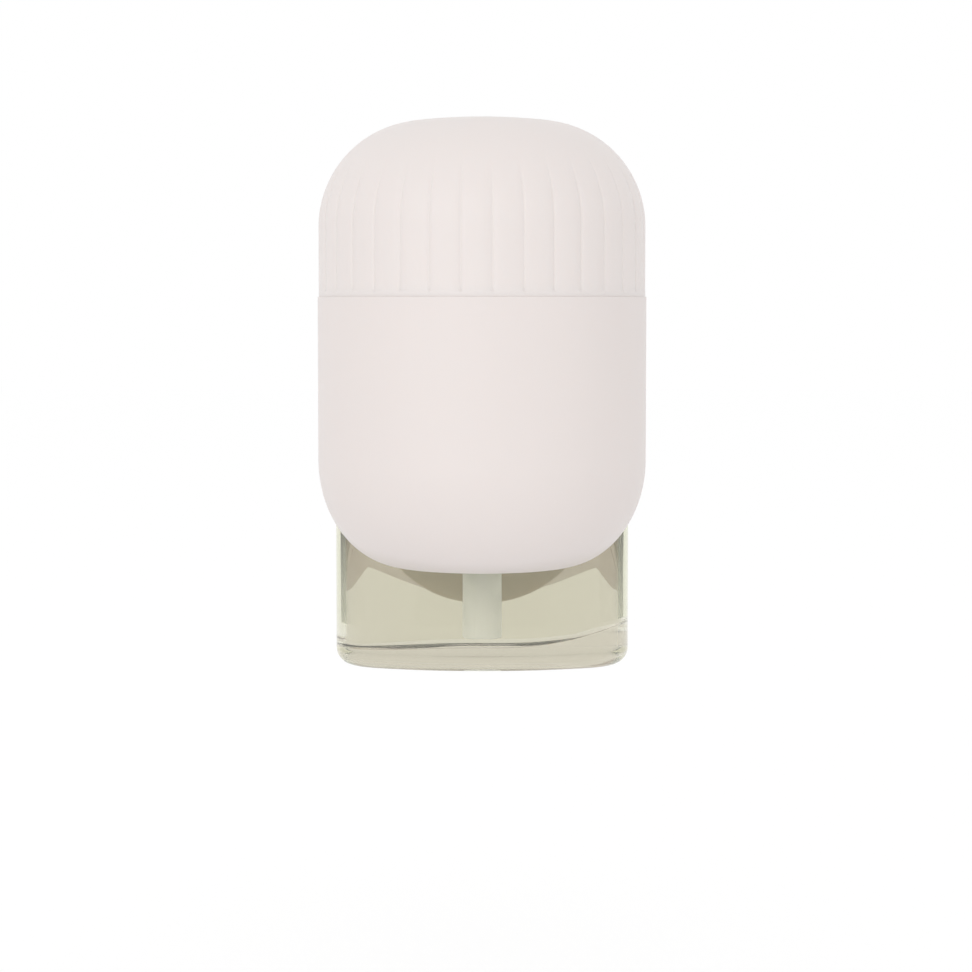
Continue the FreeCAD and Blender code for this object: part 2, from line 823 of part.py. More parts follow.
def vent_slider():
    """The gate under the vent with its stem and the thumb bar above the cap."""
    knob_y = -mm.knob_setback
    stem_y = mm.knob_stem / 2
    gate = block(
        "slider_gate",
        (-(mm.gate_width / 2), gate_front_y, gate_bottom),
        (mm.gate_width / 2, gate_front_y + mm.gate_length, gate_top),
    )
    knob_bottom = mm.top_height + mm.knob_gap
    stem = block(
        "slider_stem",
        (-(mm.knob_stem_width / 2), knob_y - stem_y, gate_bottom),
        (mm.knob_stem_width / 2, knob_y + stem_y, knob_bottom + mm.knob_gap),
    )
    bar = block(
        "slider_bar",
        (-(mm.knob_width / 2), knob_y - mm.knob_length / 2, knob_bottom),
        (mm.knob_width / 2, knob_y + mm.knob_length / 2, knob_bottom + mm.knob_height),
    )
    keep("vent_slider", fuse("slider_fuse", [gate, stem, bar]))


def bottle_glass():
    """The glass refill: bowed faces, a thick base with a shallow push-up, and a round neck."""
    outside = bottle_prism(0, mm.bottle_bottom, mm.bottle_shoulder)
    outside = outside.makeFillet(float(mm.bottle_heel_radius), edges_at(outside, mm.bottle_bottom))
    outside = outside.makeFillet(float(mm.bottle_shoulder_radius), edges_at(outside, mm.bottle_shoulder))
    neck = rod(mm.neck_radius, (0, bottle_y, bay_top - mm.glass_wall * 2), (0, bottle_y, mm.neck_top))
    inside = cavity(0)
    bore = rod(mm.neck_bore, (0, bottle_y, 0), (0, bottle_y, mm.neck_top + mm.cut_overrun))
    ball_z = mm.bottle_bottom + mm.push_up_height - mm.push_up_radius
    push_up = Part.makeSphere(float(mm.push_up_radius), point(0, bottle_y, ball_z))
    add_shape("bottle_glass", unite([outside, neck]).cut([inside, bore, push_up]))


def cavity(gap):
    """The room inside the glass, drawn in by a small gap."""
    low = mm.bottle_bottom + mm.glass_base + gap
    high = mm.bottle_shoulder - mm.glass_wall - gap
    room = bottle_prism(-mm.glass_wall - gap, low, high)
    room = room.makeFillet(float(mm.glass_inner_radius), edges_at(room, low) + edges_at(room, high))
    return room


def scented_oil():
    """The oil in the glass, up to its level and round the wick."""
    side = mm.bottle_width
    filled = box((-side, -side * 2, mm.bottle_bottom), (side, side, mm.oil_level))
    wick_room = rod(mm.wick_radius + mm.press_gap, (0, bottle_y, wick_bottom()), (0, bottle_y, mm.neck_top))
    add_shape("scented_oil", cavity(mm.press_gap).common(filled).cut(wick_room))


def wick_bottom():
    """The foot of the wick, just over the glass floor."""
    return mm.bottle_bottom + mm.glass_base + mm.wick_foot_gap


def wick():
    """The porous wick that stands from the glass floor up into the heater."""
    keep("wick", cylinder("wick", mm.wick_radius, mm.wick_length, 0, bottle_y, wick_bottom()))


def wick_holder():
    """The stopper that holds the wick in the neck."""
    bore = mm.wick_radius + mm.press_gap
    plug_radius = mm.neck_bore - mm.press_gap
    flange_top = mm.neck_top + mm.holder_flange
    tube_radius = bore + mm.holder_tube_wall
    tube_top = flange_top + mm.holder_tube_rise
    body = turned_body("wick_holder", [
        (bore, mm.neck_top - mm.holder_depth),
        (plug_radius, mm.neck_top - mm.holder_depth),
        (plug_radius, mm.neck_top),
        (mm.neck_radius, mm.neck_top),
        (mm.neck_radius, flange_top),
        (tube_radius, flange_top),
        (tube_radius, tube_top),
        (bore, tube_top),
    ])
    place(body, 0, bottle_y, 0)
    keep("wick_holder", body)


def bottle_collar():
    """The ring on the neck that the clip takes hold of."""
    inner = mm.neck_radius + mm.press_gap
    foot = mm.bottle_shoulder
    top = foot + mm.collar_height
    edge = mm.collar_edge
    body = turned_body("bottle_collar", [
        (inner, foot),
        (collar_radius, foot),
        (collar_radius, top - edge),
        (collar_radius - edge, top),
        (inner, top),
    ])
    place(body, 0, bottle_y, 0)
    keep("bottle_collar", body)


def chassis():
    """The inner frame: a deck under the heater and a flange that screws to the back."""
    half = chassis_screw_x + mm.deck_margin
    front = bottle_y - mm.deck_front
    flange_y = deck_back_y - mm.flange_thickness
    deck = block("chassis_deck", (-half, front, mm.deck_height), (half, deck_back_y, deck_top))
    flange = block("chassis_flange", (-half, flange_y, mm.deck_height), (half, deck_back_y, flange_top))
    gusset_x = half - mm.flange_thickness
    gusset_front = flange_y - mm.gusset_length
    gusset_top = deck_top + mm.gusset_length / 2
    foot = mm.deck_height
    left = block("gusset_left", (-half, gusset_front, foot), (-gusset_x, deck_back_y, gusset_top))
    right = block("gusset_right", (gusset_x, gusset_front, foot), (half, deck_back_y, gusset_top))
    frame = fuse("chassis_frame", [deck, flange, left, right])
    hole_radius = wick_hole_radius + mm.deck_hole_gap / 2
    depth = mm.deck_thickness + mm.cut_overrun * 2
    holes = [cylinder("chassis_wick_hole", hole_radius, depth, 0, bottle_y, mm.deck_height - mm.cut_overrun)]
    through = mm.flange_thickness + mm.cut_overrun * 2
    through_y = flange_y - mm.cut_overrun
    for number, side in enumerate((-1, 1), start=1):
        x = chassis_screw_x * side
        radius = mm.screw_radius + mm.screw_clearance
        z = chassis_screw_z
        holes.append(cylinder(f"chassis_screw_hole_{number}", radius, through, x, through_y, z, "y"))
        radius = mm.lead_radius + mm.screw_clearance
        x = lead_span * side
        holes.append(cylinder(f"chassis_lead_hole_{number}", radius, through, x, through_y, terminal_z, "y"))
    keep("chassis", cut("chassis_cut", frame, fuse("chassis_holes", holes)))


def neck_clip():
    """The spring clip under the deck: a ring with four fingers that hold the refill's collar."""
    inner = neck_hole_radius
    outer = inner + mm.clip_wall
    ring_bottom = mm.deck_height - mm.clip_ring_height
    finger_bottom = ring_bottom - mm.clip_finger_length
    bump_top = finger_bottom + mm.clip_bump_height
    wall = rod(outer, (0, bottle_y, finger_bottom), (0, bottle_y, mm.deck_height))
    wall = wall.cut(rod(inner, (0, bottle_y, finger_bottom), (0, bottle_y, mm.deck_height)))
    bump = rod(inner, (0, bottle_y, finger_bottom), (0, bottle_y, bump_top))
    bump = bump.cut(rod(inner - mm.clip_bump, (0, bottle_y, finger_bottom), (0, bottle_y, bump_top)))
    clip = unite([wall, bump])
    half = mm.clip_finger_width / 2
    reach = outer + mm.cut_overrun
    keep_x = box((-reach, bottle_y - half, finger_bottom), (reach, bottle_y + half, ring_bottom))
    keep_y = box((-half, bottle_y - reach, finger_bottom), (half, bottle_y + reach, ring_bottom))
    ring = box((-reach, bottle_y - reach, ring_bottom), (reach, bottle_y + reach, mm.deck_height))
    add_shape("neck_clip", clip.common(unite([keep_x, keep_y, ring])))


def heater_carrier():
    """The cup on the deck that holds the heater, with two holes for its terminals."""
    outer = carrier_radius + mm.carrier_wall
    floor = deck_top + mm.carrier_floor
    body = turned_body("heater_carrier", [
        (wick_hole_radius, deck_top),
        (outer, deck_top),
        (outer, carrier_top),
        (carrier_radius, carrier_top),
        (carrier_radius, floor),
        (wick_hole_radius, floor),
    ])
    place(body, 0, bottle_y, 0)
    holes = []
    length = carrier_radius + mm.carrier_wall * 2
    for number, side in enumerate((-1, 1), start=1):
        radius = mm.terminal_radius + mm.press_gap
        x = lead_span * side
        holes.append(cylinder(f"carrier_hole_{number}", radius, length, x, bottle_y, terminal_z, "y"))
    keep("heater_carrier", cut("heater_carrier_cut", body, fuse("carrier_holes", holes)))


def heater_places():
    """Where the round bores of the heater ring are: x, y and radius."""
    middle = (wick_hole_radius + mm.heater_radius) / 2
    gap = mm.press_gap
    return [
        (-middle, bottle_y, mm.resistor_radius + gap),
        (middle, bottle_y, mm.resistor_radius + gap),
        (0, bottle_y - middle, mm.fuse_radius + gap),
    ]


def heater_block():
    """The ceramic ring round the wick, with bores for two resistors and a thermal fuse."""
    foot = deck_top + mm.carrier_floor
    top = foot + mm.heater_height
    body = turned_body("heater_block", [
        (wick_hole_radius, foot),
        (mm.heater_radius, foot),
        (mm.heater_radius, top),
        (wick_hole_radius, top),
    ])
    place(body, 0, bottle_y, 0)
    bores = []
    bore_foot = foot + mm.carrier_floor
    for number, (x, y, radius) in enumerate(heater_places(), start=1):
        bores.append(cylinder(f"heater_bore_{number}", radius, mm.heater_height, x, y, bore_foot))
    keep("heater_block", cut("heater_block_cut", body, fuse("heater_bores", bores)))


def heater_inserts():
    """The two resistors and the thermal fuse in the heater ring."""
    foot = deck_top + mm.carrier_floor * 2
    sides = ("left", "right")
    places = heater_places()
    for side, (x, y, bore) in zip(sides, places):
        name = "heater_resistor_" + side
        keep(name, cylinder(name, mm.resistor_radius, mm.resistor_length, x, y, foot))
    x, y, bore = places[-1]
    keep("thermal_fuse", cylinder("thermal_fuse", mm.fuse_radius, mm.fuse_length, x, y, foot))


def lead_end_y():
    """Where the leads meet the heater's terminals."""
    reach = carrier_radius + mm.carrier_wall
    return bottle_y + math.sqrt(float(reach) ** 2 - float(lead_span) ** 2) + float(mm.terminal_reach)


def heater_terminals():
    """The two pins that come out of the heater at the back."""
    end_y = lead_end_y()
    pins = []
    for side in (-1, 1):
        x = lead_span * side
        start = (x, end_y - mm.terminal_length, terminal_z)
        pins.append(rod(mm.terminal_radius, start, (x, end_y, terminal_z)))
    add_shape("heater_terminals", Part.makeCompound(pins))


def chimney():
    """The tapered flue from the heater up to the vent."""
    foot = carrier_top
    flange_top = foot + mm.chimney_flange
    top = rail_bottom - mm.chimney_mouth_gap
    body = turned_body("chimney", [
        (mm.chimney_foot_radius, foot),
        (carrier_radius + mm.carrier_wall, foot),
        (carrier_radius + mm.carrier_wall, flange_top),
        (mm.chimney_foot_radius + mm.chimney_wall, flange_top),
        (mm.chimney_mouth_radius + mm.chimney_wall, top),
        (mm.chimney_mouth_radius, top),
        (mm.chimney_foot_radius, flange_top),
    ])
    place(body, 0, bottle_y, 0)
    keep("chimney", body)


def plug_turret():
    """The round plug that turns in the back wall, with slots for the blades and detent notches."""
    edge = mm.turret_chamfer
    body = turned_body("plug_turret", [
        (0, flange_front_y),
        (turret_flange_radius, flange_front_y),
        (turret_flange_radius, flange_back_y),
        (mm.turret_radius, flange_back_y),
        (mm.turret_radius, -edge),
        (mm.turret_radius - edge, 0),
        (0, 0),
    ])
    place(body, 0, 0, 0, "y")
    cutters = []
    for name, x, width in blade_places():
        half_x = mm.blade_thickness / 2 + mm.press_gap
        half_z = width / 2 + mm.press_gap
        low = (x - half_x, flange_front_y - mm.cut_overrun, -half_z)
        high = (x + half_x, mm.cut_overrun, half_z)
        cutters.append(block(name + "_slot", low, high))
    notch = mm.detent_notch
    for number, (across, up) in enumerate(((1, 0), (-1, 0), (0, 1), (0, -1)), start=1):
        x = turret_flange_radius * across
        z = turret_flange_radius * up
        length = mm.turret_flange_thickness + mm.cut_overrun
        y = flange_front_y - mm.cut_overrun
        cutters.append(cylinder(f"detent_{number}", notch, length, x, y, z, "y"))
    keep("plug_turret", cut("plug_turret_cut", body, fuse("plug_turret_cutters", cutters)))


def blade_places():
    """Each blade's name, its place across and its width."""
    half = mm.blade_spacing / 2
    return [("blade_line", half, mm.line_blade_width), ("blade_neutral", -half, mm.neutral_blade_width)]


def blades():
    """The two flat blades, each with a tail that reaches its contact ring."""
    for name, x, width in blade_places():
        half_x = mm.blade_thickness / 2
        half_z = width / 2
        blade = box((x - half_x, tail_y, -half_z), (x + half_x, mm.blade_reach, half_z))
        tip = [edge for edge in blade.Edges
               if abs(edge.BoundBox.YMin - float(mm.blade_reach)) < float(mm.press_gap)]
        blade = blade.makeChamfer(float(mm.blade_tip), tip)
        ring = mm.line_ring_radius if name == "blade_line" else -mm.neutral_ring_radius
        low_x, high_x = sorted((float(x), float(ring)))
        low_x = low_x - float(half_x)
        high_x = high_x + float(half_x)
        foot_half = mm.tail_width / 2
        foot = box((low_x, tail_y, -foot_half), (high_x, flange_front_y, foot_half))
        hole_y = mm.blade_reach - mm.blade_hole_setback
        reach = mm.blade_thickness
        hole = rod(mm.blade_hole_radius, (x - reach, hole_y, 0), (x + reach, hole_y, 0))
        add_shape(name, unite([blade, foot]).cut(hole))


def ring_tab(ring_radius, side):
    """Where a ring's tab goes through the retainer: at forty-five degrees on the ring."""
    share = math.sqrt(1 / 2)
    return ring_radius * share * side, ring_radius * share


def ring_places():
    """Each contact ring's name, its mean radius and the side its tab is on."""
    return [
        ("contact_ring_line", mm.line_ring_radius, 1),
        ("contact_ring_neutral", mm.neutral_ring_radius, -1),
    ]


def contact_rings():
    """The two rings that the blades' tails run on, each with a tab through the retainer."""
    for name, radius, side in ring_places():
        half = mm.contact_ring_width / 2
        outer = cylinder(name + "_outer", radius + half, mm.contact_thickness, 0, retainer_y, 0, "y")
        inner = cylinder(name + "_inner", radius - half, mm.contact_thickness, 0, retainer_y, 0, "y")
        ring = cut(name + "_ring", outer, inner)
        x, z = ring_tab(radius, side)
        low = (x - mm.tab_width / 4, retainer_front_y - mm.tab_reach, z - mm.contact_thickness / 2)
        high = (x + mm.tab_width / 4, ring_y, z + mm.contact_thickness / 2)
        keep(name, fuse(name + "_fuse", [ring, block(name + "_tab", low, high)]))


def contact_carrier():
    """The retainer that holds both rings against the blades' tails, screwed to the back wall."""
    radius = mm.boss_radius - mm.shell_wall - mm.retainer_gap
    disc = cylinder("retainer_disc", radius, mm.retainer_thickness, 0, retainer_front_y, 0, "y")
    ear_low = floor_top + mm.retainer_gap
    half = retainer_screw_x + mm.retainer_ear_margin
    ear_high = ear_low + mm.retainer_ear_height
    ears = block("retainer_ears", (-half, retainer_front_y, ear_low), (half, retainer_y, ear_high))
    neck_x = mm.retainer_neck_width / 2
    neck_high = ear_low + mm.retainer_ear_height / 2
    neck_low = mm.boss_radius / 2
    neck = block("retainer_neck", (-neck_x, retainer_front_y, neck_low), (neck_x, retainer_y, neck_high))
    cutters = []
    half_tab = mm.tab_width / 4 + mm.press_gap
    half_sheet = mm.contact_thickness / 2 + mm.press_gap
    for name, ring_radius, side in ring_places():
        x, z = ring_tab(ring_radius, side)
        low = (x - half_tab, retainer_front_y - mm.cut_overrun, z - half_sheet)
        high = (x + half_tab, retainer_y, z + half_sheet)
        cutters.append(block(name + "_slot_in_retainer", low, high))
    for number, side in enumerate((-1, 1), start=1):
        x = retainer_screw_x * side
        hole_radius = mm.screw_radius + mm.screw_clearance
        length = mm.retainer_thickness + mm.cut_overrun
        y = retainer_front_y - mm.cut_overrun / 2
        z = retainer_screw_z
        cutters.append(cylinder(f"retainer_hole_{number}", hole_radius, length, x, y, z, "y"))
    base = fuse("retainer_plate", [disc, ears, neck])
    keep("contact_carrier", cut("retainer_cut", base, fuse("retainer_cutters", cutters)))


def plug_cover():
    """The plate that closes the boss towards the refill, with a lip inside the rim."""
    top = mm.body_underside - mm.vent_fit
    reach = mm.boss_radius + mm.cut_overrun
    below = box((-reach, boss_y - mm.cover_thickness, -reach), (reach, back_y, top))
    plate = rod(mm.boss_radius, (0, boss_y - mm.cover_thickness, 0), (0, boss_y, 0))
    lip_radius = mm.boss_radius - mm.shell_wall - mm.vent_fit
    lip = rod(lip_radius, (0, boss_y, 0), (0, boss_y + mm.cover_lip_depth, 0))
    lip = lip.cut(rod(lip_radius - mm.cover_lip, (0, boss_y, 0), (0, boss_y + mm.cover_lip_depth, 0)))
    add_shape("plug_cover", unite([plate, lip]).common(below))


def detent_spring():
    """The leaf across the two retainer posts, with a bump over the turret's notch."""
    post_x = retainer_screw_x - post_radius
    z_low = retainer_screw_z - mm.spring_thickness / 2
    z_high = z_low + mm.spring_thickness
    y_low = flange_back_y - mm.turret_flange_thickness / 2 - mm.spring_width / 2
    y_high = y_low + mm.spring_width
    bump_z = turret_flange_radius + mm.slip_gap
    bump_x = z_low - bump_z
    wire = Part.makePolygon([
        point(-post_x, y_low, z_high),
        point(-post_x, y_low, z_low),
        point(-bump_x, y_low, z_low),
        point(0, y_low, bump_z),
        point(bump_x, y_low, z_low),
        point(post_x, y_low, z_low),
        point(post_x, y_low, z_high),
        point(-post_x, y_low, z_high),
    ])
    add_shape("detent_spring", Part.Face(wire).extrude(point(0, y_high - y_low, 0)))


def lead(name, side, ring_radius):
    """An insulated lead from a contact tab up and forward to a heater terminal."""
    start_x, start_z = ring_tab(ring_radius, side)
    x = lead_span * side
    route = [point(start_x, lead_y, start_z)]
    if abs(float(start_x - x)) > float(mm.lead_radius):
        route.append(point(start_x, lead_y, (start_z + floor_top) / 2))
        route.append(point(x, lead_y, floor_top + mm.lead_bend))
    route.append(point(x, lead_y, terminal_z))
    route.append(point(x, lead_end_y(), terminal_z))
    path = rounded_path(route)
    section = Part.Wire(Part.makeCircle(float(mm.lead_radius), route[0], route[1] - route[0]))
    tube = path.makePipeShell([section], True, True)
    add_shape(name, tube)
    full = math.pi * float(mm.lead_radius) ** 2 * path.Length
    print(name, "length", round(path.Length, 1), "volume share", round(tube.Volume / full, 4))


def rounded_path(route):
    """Straight runs through the points of a route, joined by arcs that start a third along them."""
    edges = []
    begin = route[0]
    for before, corner, after in zip(route, route[1:], route[2:]):
        into = corner - before
        out = after - corner
        back = min(into.Length, out.Length, float(mm.lead_bend)) / 3
        into.normalize()
        out.normalize()
        radius = back / math.tan(into.getAngle(out) / 2)
        arc_start = corner - into * back
        centre = arc_start + (out - into * out.dot(into)).normalize() * radius
        edges.append(Part.makeLine(begin, arc_start))
        begin = corner + out * back
        edges.append(arc_between(arc_start, centre, begin))
    edges.append(Part.makeLine(begin, route[-1]))
    return Part.Wire(edges)


def screw(name, x, head_front_y, z, length, forward):
    """A pan head screw along Y; forward is -1 where its shank goes towards the front."""
    if forward < 0:
        shank = cylinder(name + "_shank", mm.screw_radius, length, x, head_front_y - length, z, "y")
        head = cylinder(name + "_head", mm.screw_head_radius, mm.screw_head_height, x, head_front_y, z, "y")
        drive_y = head_front_y + mm.screw_head_height - mm.screw_drive_depth
    else:
        shank = cylinder(name + "_shank", mm.screw_radius, length, x, head_front_y, z, "y")
        head = cylinder(name + "_head", mm.screw_head_radius, mm.screw_head_height, x,
                        head_front_y - mm.screw_head_height, z, "y")
        drive_y = head_front_y - mm.screw_head_height
    solid = fuse(name + "_blank", [shank, head])
    half = mm.screw_drive_width / 2
    arm = mm.screw_head_radius * drive_share
    end_y = drive_y + mm.screw_drive_depth
    across = block(name + "_drive_across", (x - arm, drive_y, z - half), (x + arm, end_y, z + half))
    upright = block(name + "_drive_upright", (x - half, drive_y, z - arm), (x + half, end_y, z + arm))
    return cut(name, solid, fuse(name + "_drive", [across, upright]))


def screws():
    """Every screw: four through the housing, two at the chassis and two at the retainer."""
    housing = []
    chassis_ones = []
    retainer_ones = []
    for number, side in enumerate((-1, 1), start=1):
        x = housing_screw_x * side
        for level, z in (("low", housing_screw_low), ("high", housing_screw_high)):
            name = f"housing_screw_{level}_{number}"
            housing.append(screw(name, x, head_y(), z, mm.housing_screw_length, -1))
        x = chassis_screw_x * side
        y = deck_back_y - mm.flange_thickness
        length = mm.short_screw_length
        chassis_ones.append(screw(f"chassis_screw_{number}", x, y, chassis_screw_z, length, 1))
        x = retainer_screw_x * side
        y = retainer_front_y
        length = mm.short_screw_length - mm.retainer_thickness / 2
        retainer_ones.append(screw(f"retainer_screw_{number}", x, y, retainer_screw_z, length, 1))
    group("housing_screws", housing)
    group("chassis_screws", chassis_ones)
    group("carrier_screws", retainer_ones)


def faults(thing):
    """What is wrong with one finished sub-part, or nothing."""
    if thing.Shape.isNull():
        return "has no shape"
    if not thing.Shape.isValid():
        return "has an invalid shape"
    if not thing.Shape.Solids:
        return "has no solid"
    return ""


lower = lower_body()
front_shell(lower)
rear_housing(lower)
fluted_cap()
vent_grille()
vent_slider()
bottle_glass()
scented_oil()
wick()
wick_holder()
bottle_collar()
chassis()
neck_clip()
heater_carrier()
heater_block()
heater_inserts()
heater_terminals()
chimney()
plug_turret()
blades()
contact_rings()
contact_carrier()
plug_cover()
detent_spring()
lead("lead_line", 1, mm.line_ring_radius)
lead("lead_neutral", -1, mm.neutral_ring_radius)
screws()
doc.recompute()

broken = [thing.Name for thing in doc.Objects if set(thing.State) & {"Invalid", "Error"}]
if broken:
    raise RuntimeError("objects that failed to build: " + ", ".join(broken))
for name, thing in nodes.items():
    fault = faults(thing)
    if fault:
        raise RuntimeError(f"{name} {fault}")

os.makedirs("parts", exist_ok=True)
for name, thing in nodes.items():
    thing.Shape.exportStep(f"parts/{name}.step")
    extent = thing.Shape.BoundBox
    print(f"{name}: {len(thing.Shape.Solids)} solid, volume {thing.Shape.Volume:.1f}, "
          f"x {extent.XMin:.1f}..{extent.XMax:.1f} y {extent.YMin:.1f}..{extent.YMax:.1f} "
          f"z {extent.ZMin:.1f}..{extent.ZMax:.1f}")
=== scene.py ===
"""Looks for a plug-in scented oil warmer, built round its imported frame.

Everything is in metres in the frame's own axes: the origin is on the plug's axis in the plane of
the outlet's face, +Y goes into the wall, +Z is up and the front of the warmer faces -Y. The sizes
of the pieces are in millimetres.
"""

import logging
import math
from dataclasses import dataclass
from enum import Enum
from typing import Callable, Iterable, Sequence

import bmesh
import bpy
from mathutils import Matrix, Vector
from mathutils.bvhtree import BVHTree

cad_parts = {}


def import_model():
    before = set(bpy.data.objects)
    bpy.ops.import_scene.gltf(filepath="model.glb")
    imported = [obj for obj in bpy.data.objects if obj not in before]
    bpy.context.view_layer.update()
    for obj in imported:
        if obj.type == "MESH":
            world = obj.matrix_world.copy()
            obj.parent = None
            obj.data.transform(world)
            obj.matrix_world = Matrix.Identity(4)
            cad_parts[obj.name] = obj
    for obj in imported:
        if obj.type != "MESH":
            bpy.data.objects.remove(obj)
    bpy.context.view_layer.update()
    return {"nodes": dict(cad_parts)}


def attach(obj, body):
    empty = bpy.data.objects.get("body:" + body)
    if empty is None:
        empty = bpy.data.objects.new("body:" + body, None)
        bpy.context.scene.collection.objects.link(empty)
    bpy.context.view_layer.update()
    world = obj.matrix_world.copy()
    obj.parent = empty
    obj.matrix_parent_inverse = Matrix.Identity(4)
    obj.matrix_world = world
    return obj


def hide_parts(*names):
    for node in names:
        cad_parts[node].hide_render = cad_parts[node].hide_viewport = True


LOG = logging.getLogger("oil_warmer")
MM = 0.001
# A ray that has met this many surfaces goes straight on through glass, so that none is lost in it.
DEEPEST_BEND = 7.5
# Points of a solid, and of a new mesh, that are closer than this many metres are one point.
SAME_ON_SOLID = 2e-6
SAME_ON_MESH = 3e-6
# Points this many metres from a plane are in it.
IN_PLANE = 1e-6

Colour = tuple[float, float, float]
Place = tuple[float, float, float]
Span = tuple[float, float]
Inputs = dict[str | int, object]
Node = bpy.types.Node
Socket = bpy.types.NodeSocket
Material = bpy.types.Material
Piece = bpy.types.Object
Mesh = bmesh.types.BMesh
Vert = bmesh.types.BMVert
Edge = bmesh.types.BMEdge

WHITE: Colour = (1.0, 1.0, 1.0)


class Body(Enum):
    """The moving bodies of the warmer."""

    HOUSING = "housing"
    PLUG = "plug"
    REFILL = "refill"
    SLIDER = "level_slider"


def smoothstep(low: float, high: float, value: float) -> float:
    """Ease a value from 0 at low to 1 at high."""
    share = min(1.0, max(0.0, (value - low) / (high - low)))
    return share * share * (3 - 2 * share)


def quarter(steps: int, first: int = 0) -> list[tuple[float, float]]:
    """Points of a rounding: how far in from its side and short of its end each is, over the radius."""
    angles = [math.pi / 2 * step / steps for step in range(first, steps + 1)]
    return [(1 - math.cos(angle), 1 - math.sin(angle)) for angle in angles]


class Shader:
    """A material, world or node group under construction."""

    def __init__(self, tree: bpy.types.NodeTree) -> None:
        """Start on a node tree.

        Args:
            tree: The tree.
        """
        self.tree = tree
        self.principled = tree.nodes.get("Principled BSDF")
        self.output = tree.nodes.get("Material Output")

    def node(self, kind: str, inputs: Inputs | None = None, **settings: object) -> Node:
        """Add a node.

        Args:
            kind: The node's type, without ShaderNode in front.
            inputs: What goes into its inputs, as fill takes it.
            **settings: Properties of the node itself.

        Returns:
            The new node.
        """
        node = self.tree.nodes.new("ShaderNode" + kind)
        for key, value in settings.items():
            setattr(node, key, value)
        self.fill(node, inputs or {})
        return node

    def fill(self, node: Node, inputs: Inputs) -> None:
        """Fill inputs of a node.

        Args:
            node: The node.
            inputs: By name or number, a socket to link or a plain value; a colour has no alpha.
        """
        for key, value in inputs.items():
            target = node.inputs[key]
            if isinstance(value, Socket):
                self.tree.links.new(value, target)
            else:
                target.default_value = (*value, 1.0) if target.type == "RGBA" else value

    def add(self, kind: str, inputs: Inputs | None = None, **settings: object) -> Socket:
        """Add a node as node does, and return its first output."""
        return self.node(kind, inputs, **settings).outputs[0]

    def math(self, operation: str, *values: object) -> Socket:
        """Add a Math node on sockets or numbers, and return its result."""
        return self.add("Math", dict(enumerate(values)), operation=operation)

    def noise(self, scale: object, detail: float, inputs: Inputs | None = None) -> Socket:
        """Add noise in the object's own coordinates.

        Args:
            scale: Its scale.
            detail: Its detail.
            inputs: Its other inputs.

        Returns:
            The noise, from 0 to 1.
        """
        where = self.node("TexCoord").outputs["Object"]
        return self.add("TexNoise", {"Vector": where, "Scale": scale, "Detail": detail} | (inputs or {}))

    def bump(self, height: Socket, distance: float, strength: float) -> Socket:
        """Add a Bump node, and return its normal."""
        return self.add("Bump", {"Height": height, "Distance": distance, "Strength": strength})

    def mix(self, share: Socket, plain: Socket, other: Socket) -> Socket:
        """Add a Mix Shader node: plain shows where share is 0, and other where it is 1."""
        return self.add("MixShader", {0: share, 1: plain, 2: other})

    def directly_seen(self) -> Socket:
        """A mask of what the camera, gloss and glass see, and soft light doesn't.

        Returns:
            The mask.
        """
        path = self.node("LightPath").outputs
        seen = self.math("MAXIMUM", path["Is Camera Ray"], path["Is Transmission Ray"])
        return self.math("MAXIMUM", seen, path["Is Glossy Ray"])

    def lay(self, group: bpy.types.NodeTree, distance: float, strength: float, inputs: Inputs) -> None:
        """Feed the colour, roughness and relief of a surface group to the material.

        Args:
            group: The surface group.
            distance: Height of its relief, in metres.
            strength: Strength of the relief.
            inputs: The group's inputs, as fill takes them.
        """
        surface = self.node("Group", inputs, node_tree=group).outputs
        normal = self.bump(surface["Height"], distance, strength)
        looks = {"Base Color": surface["Color"], "Roughness": surface["Roughness"], "Normal": normal}
        self.fill(self.principled, looks)


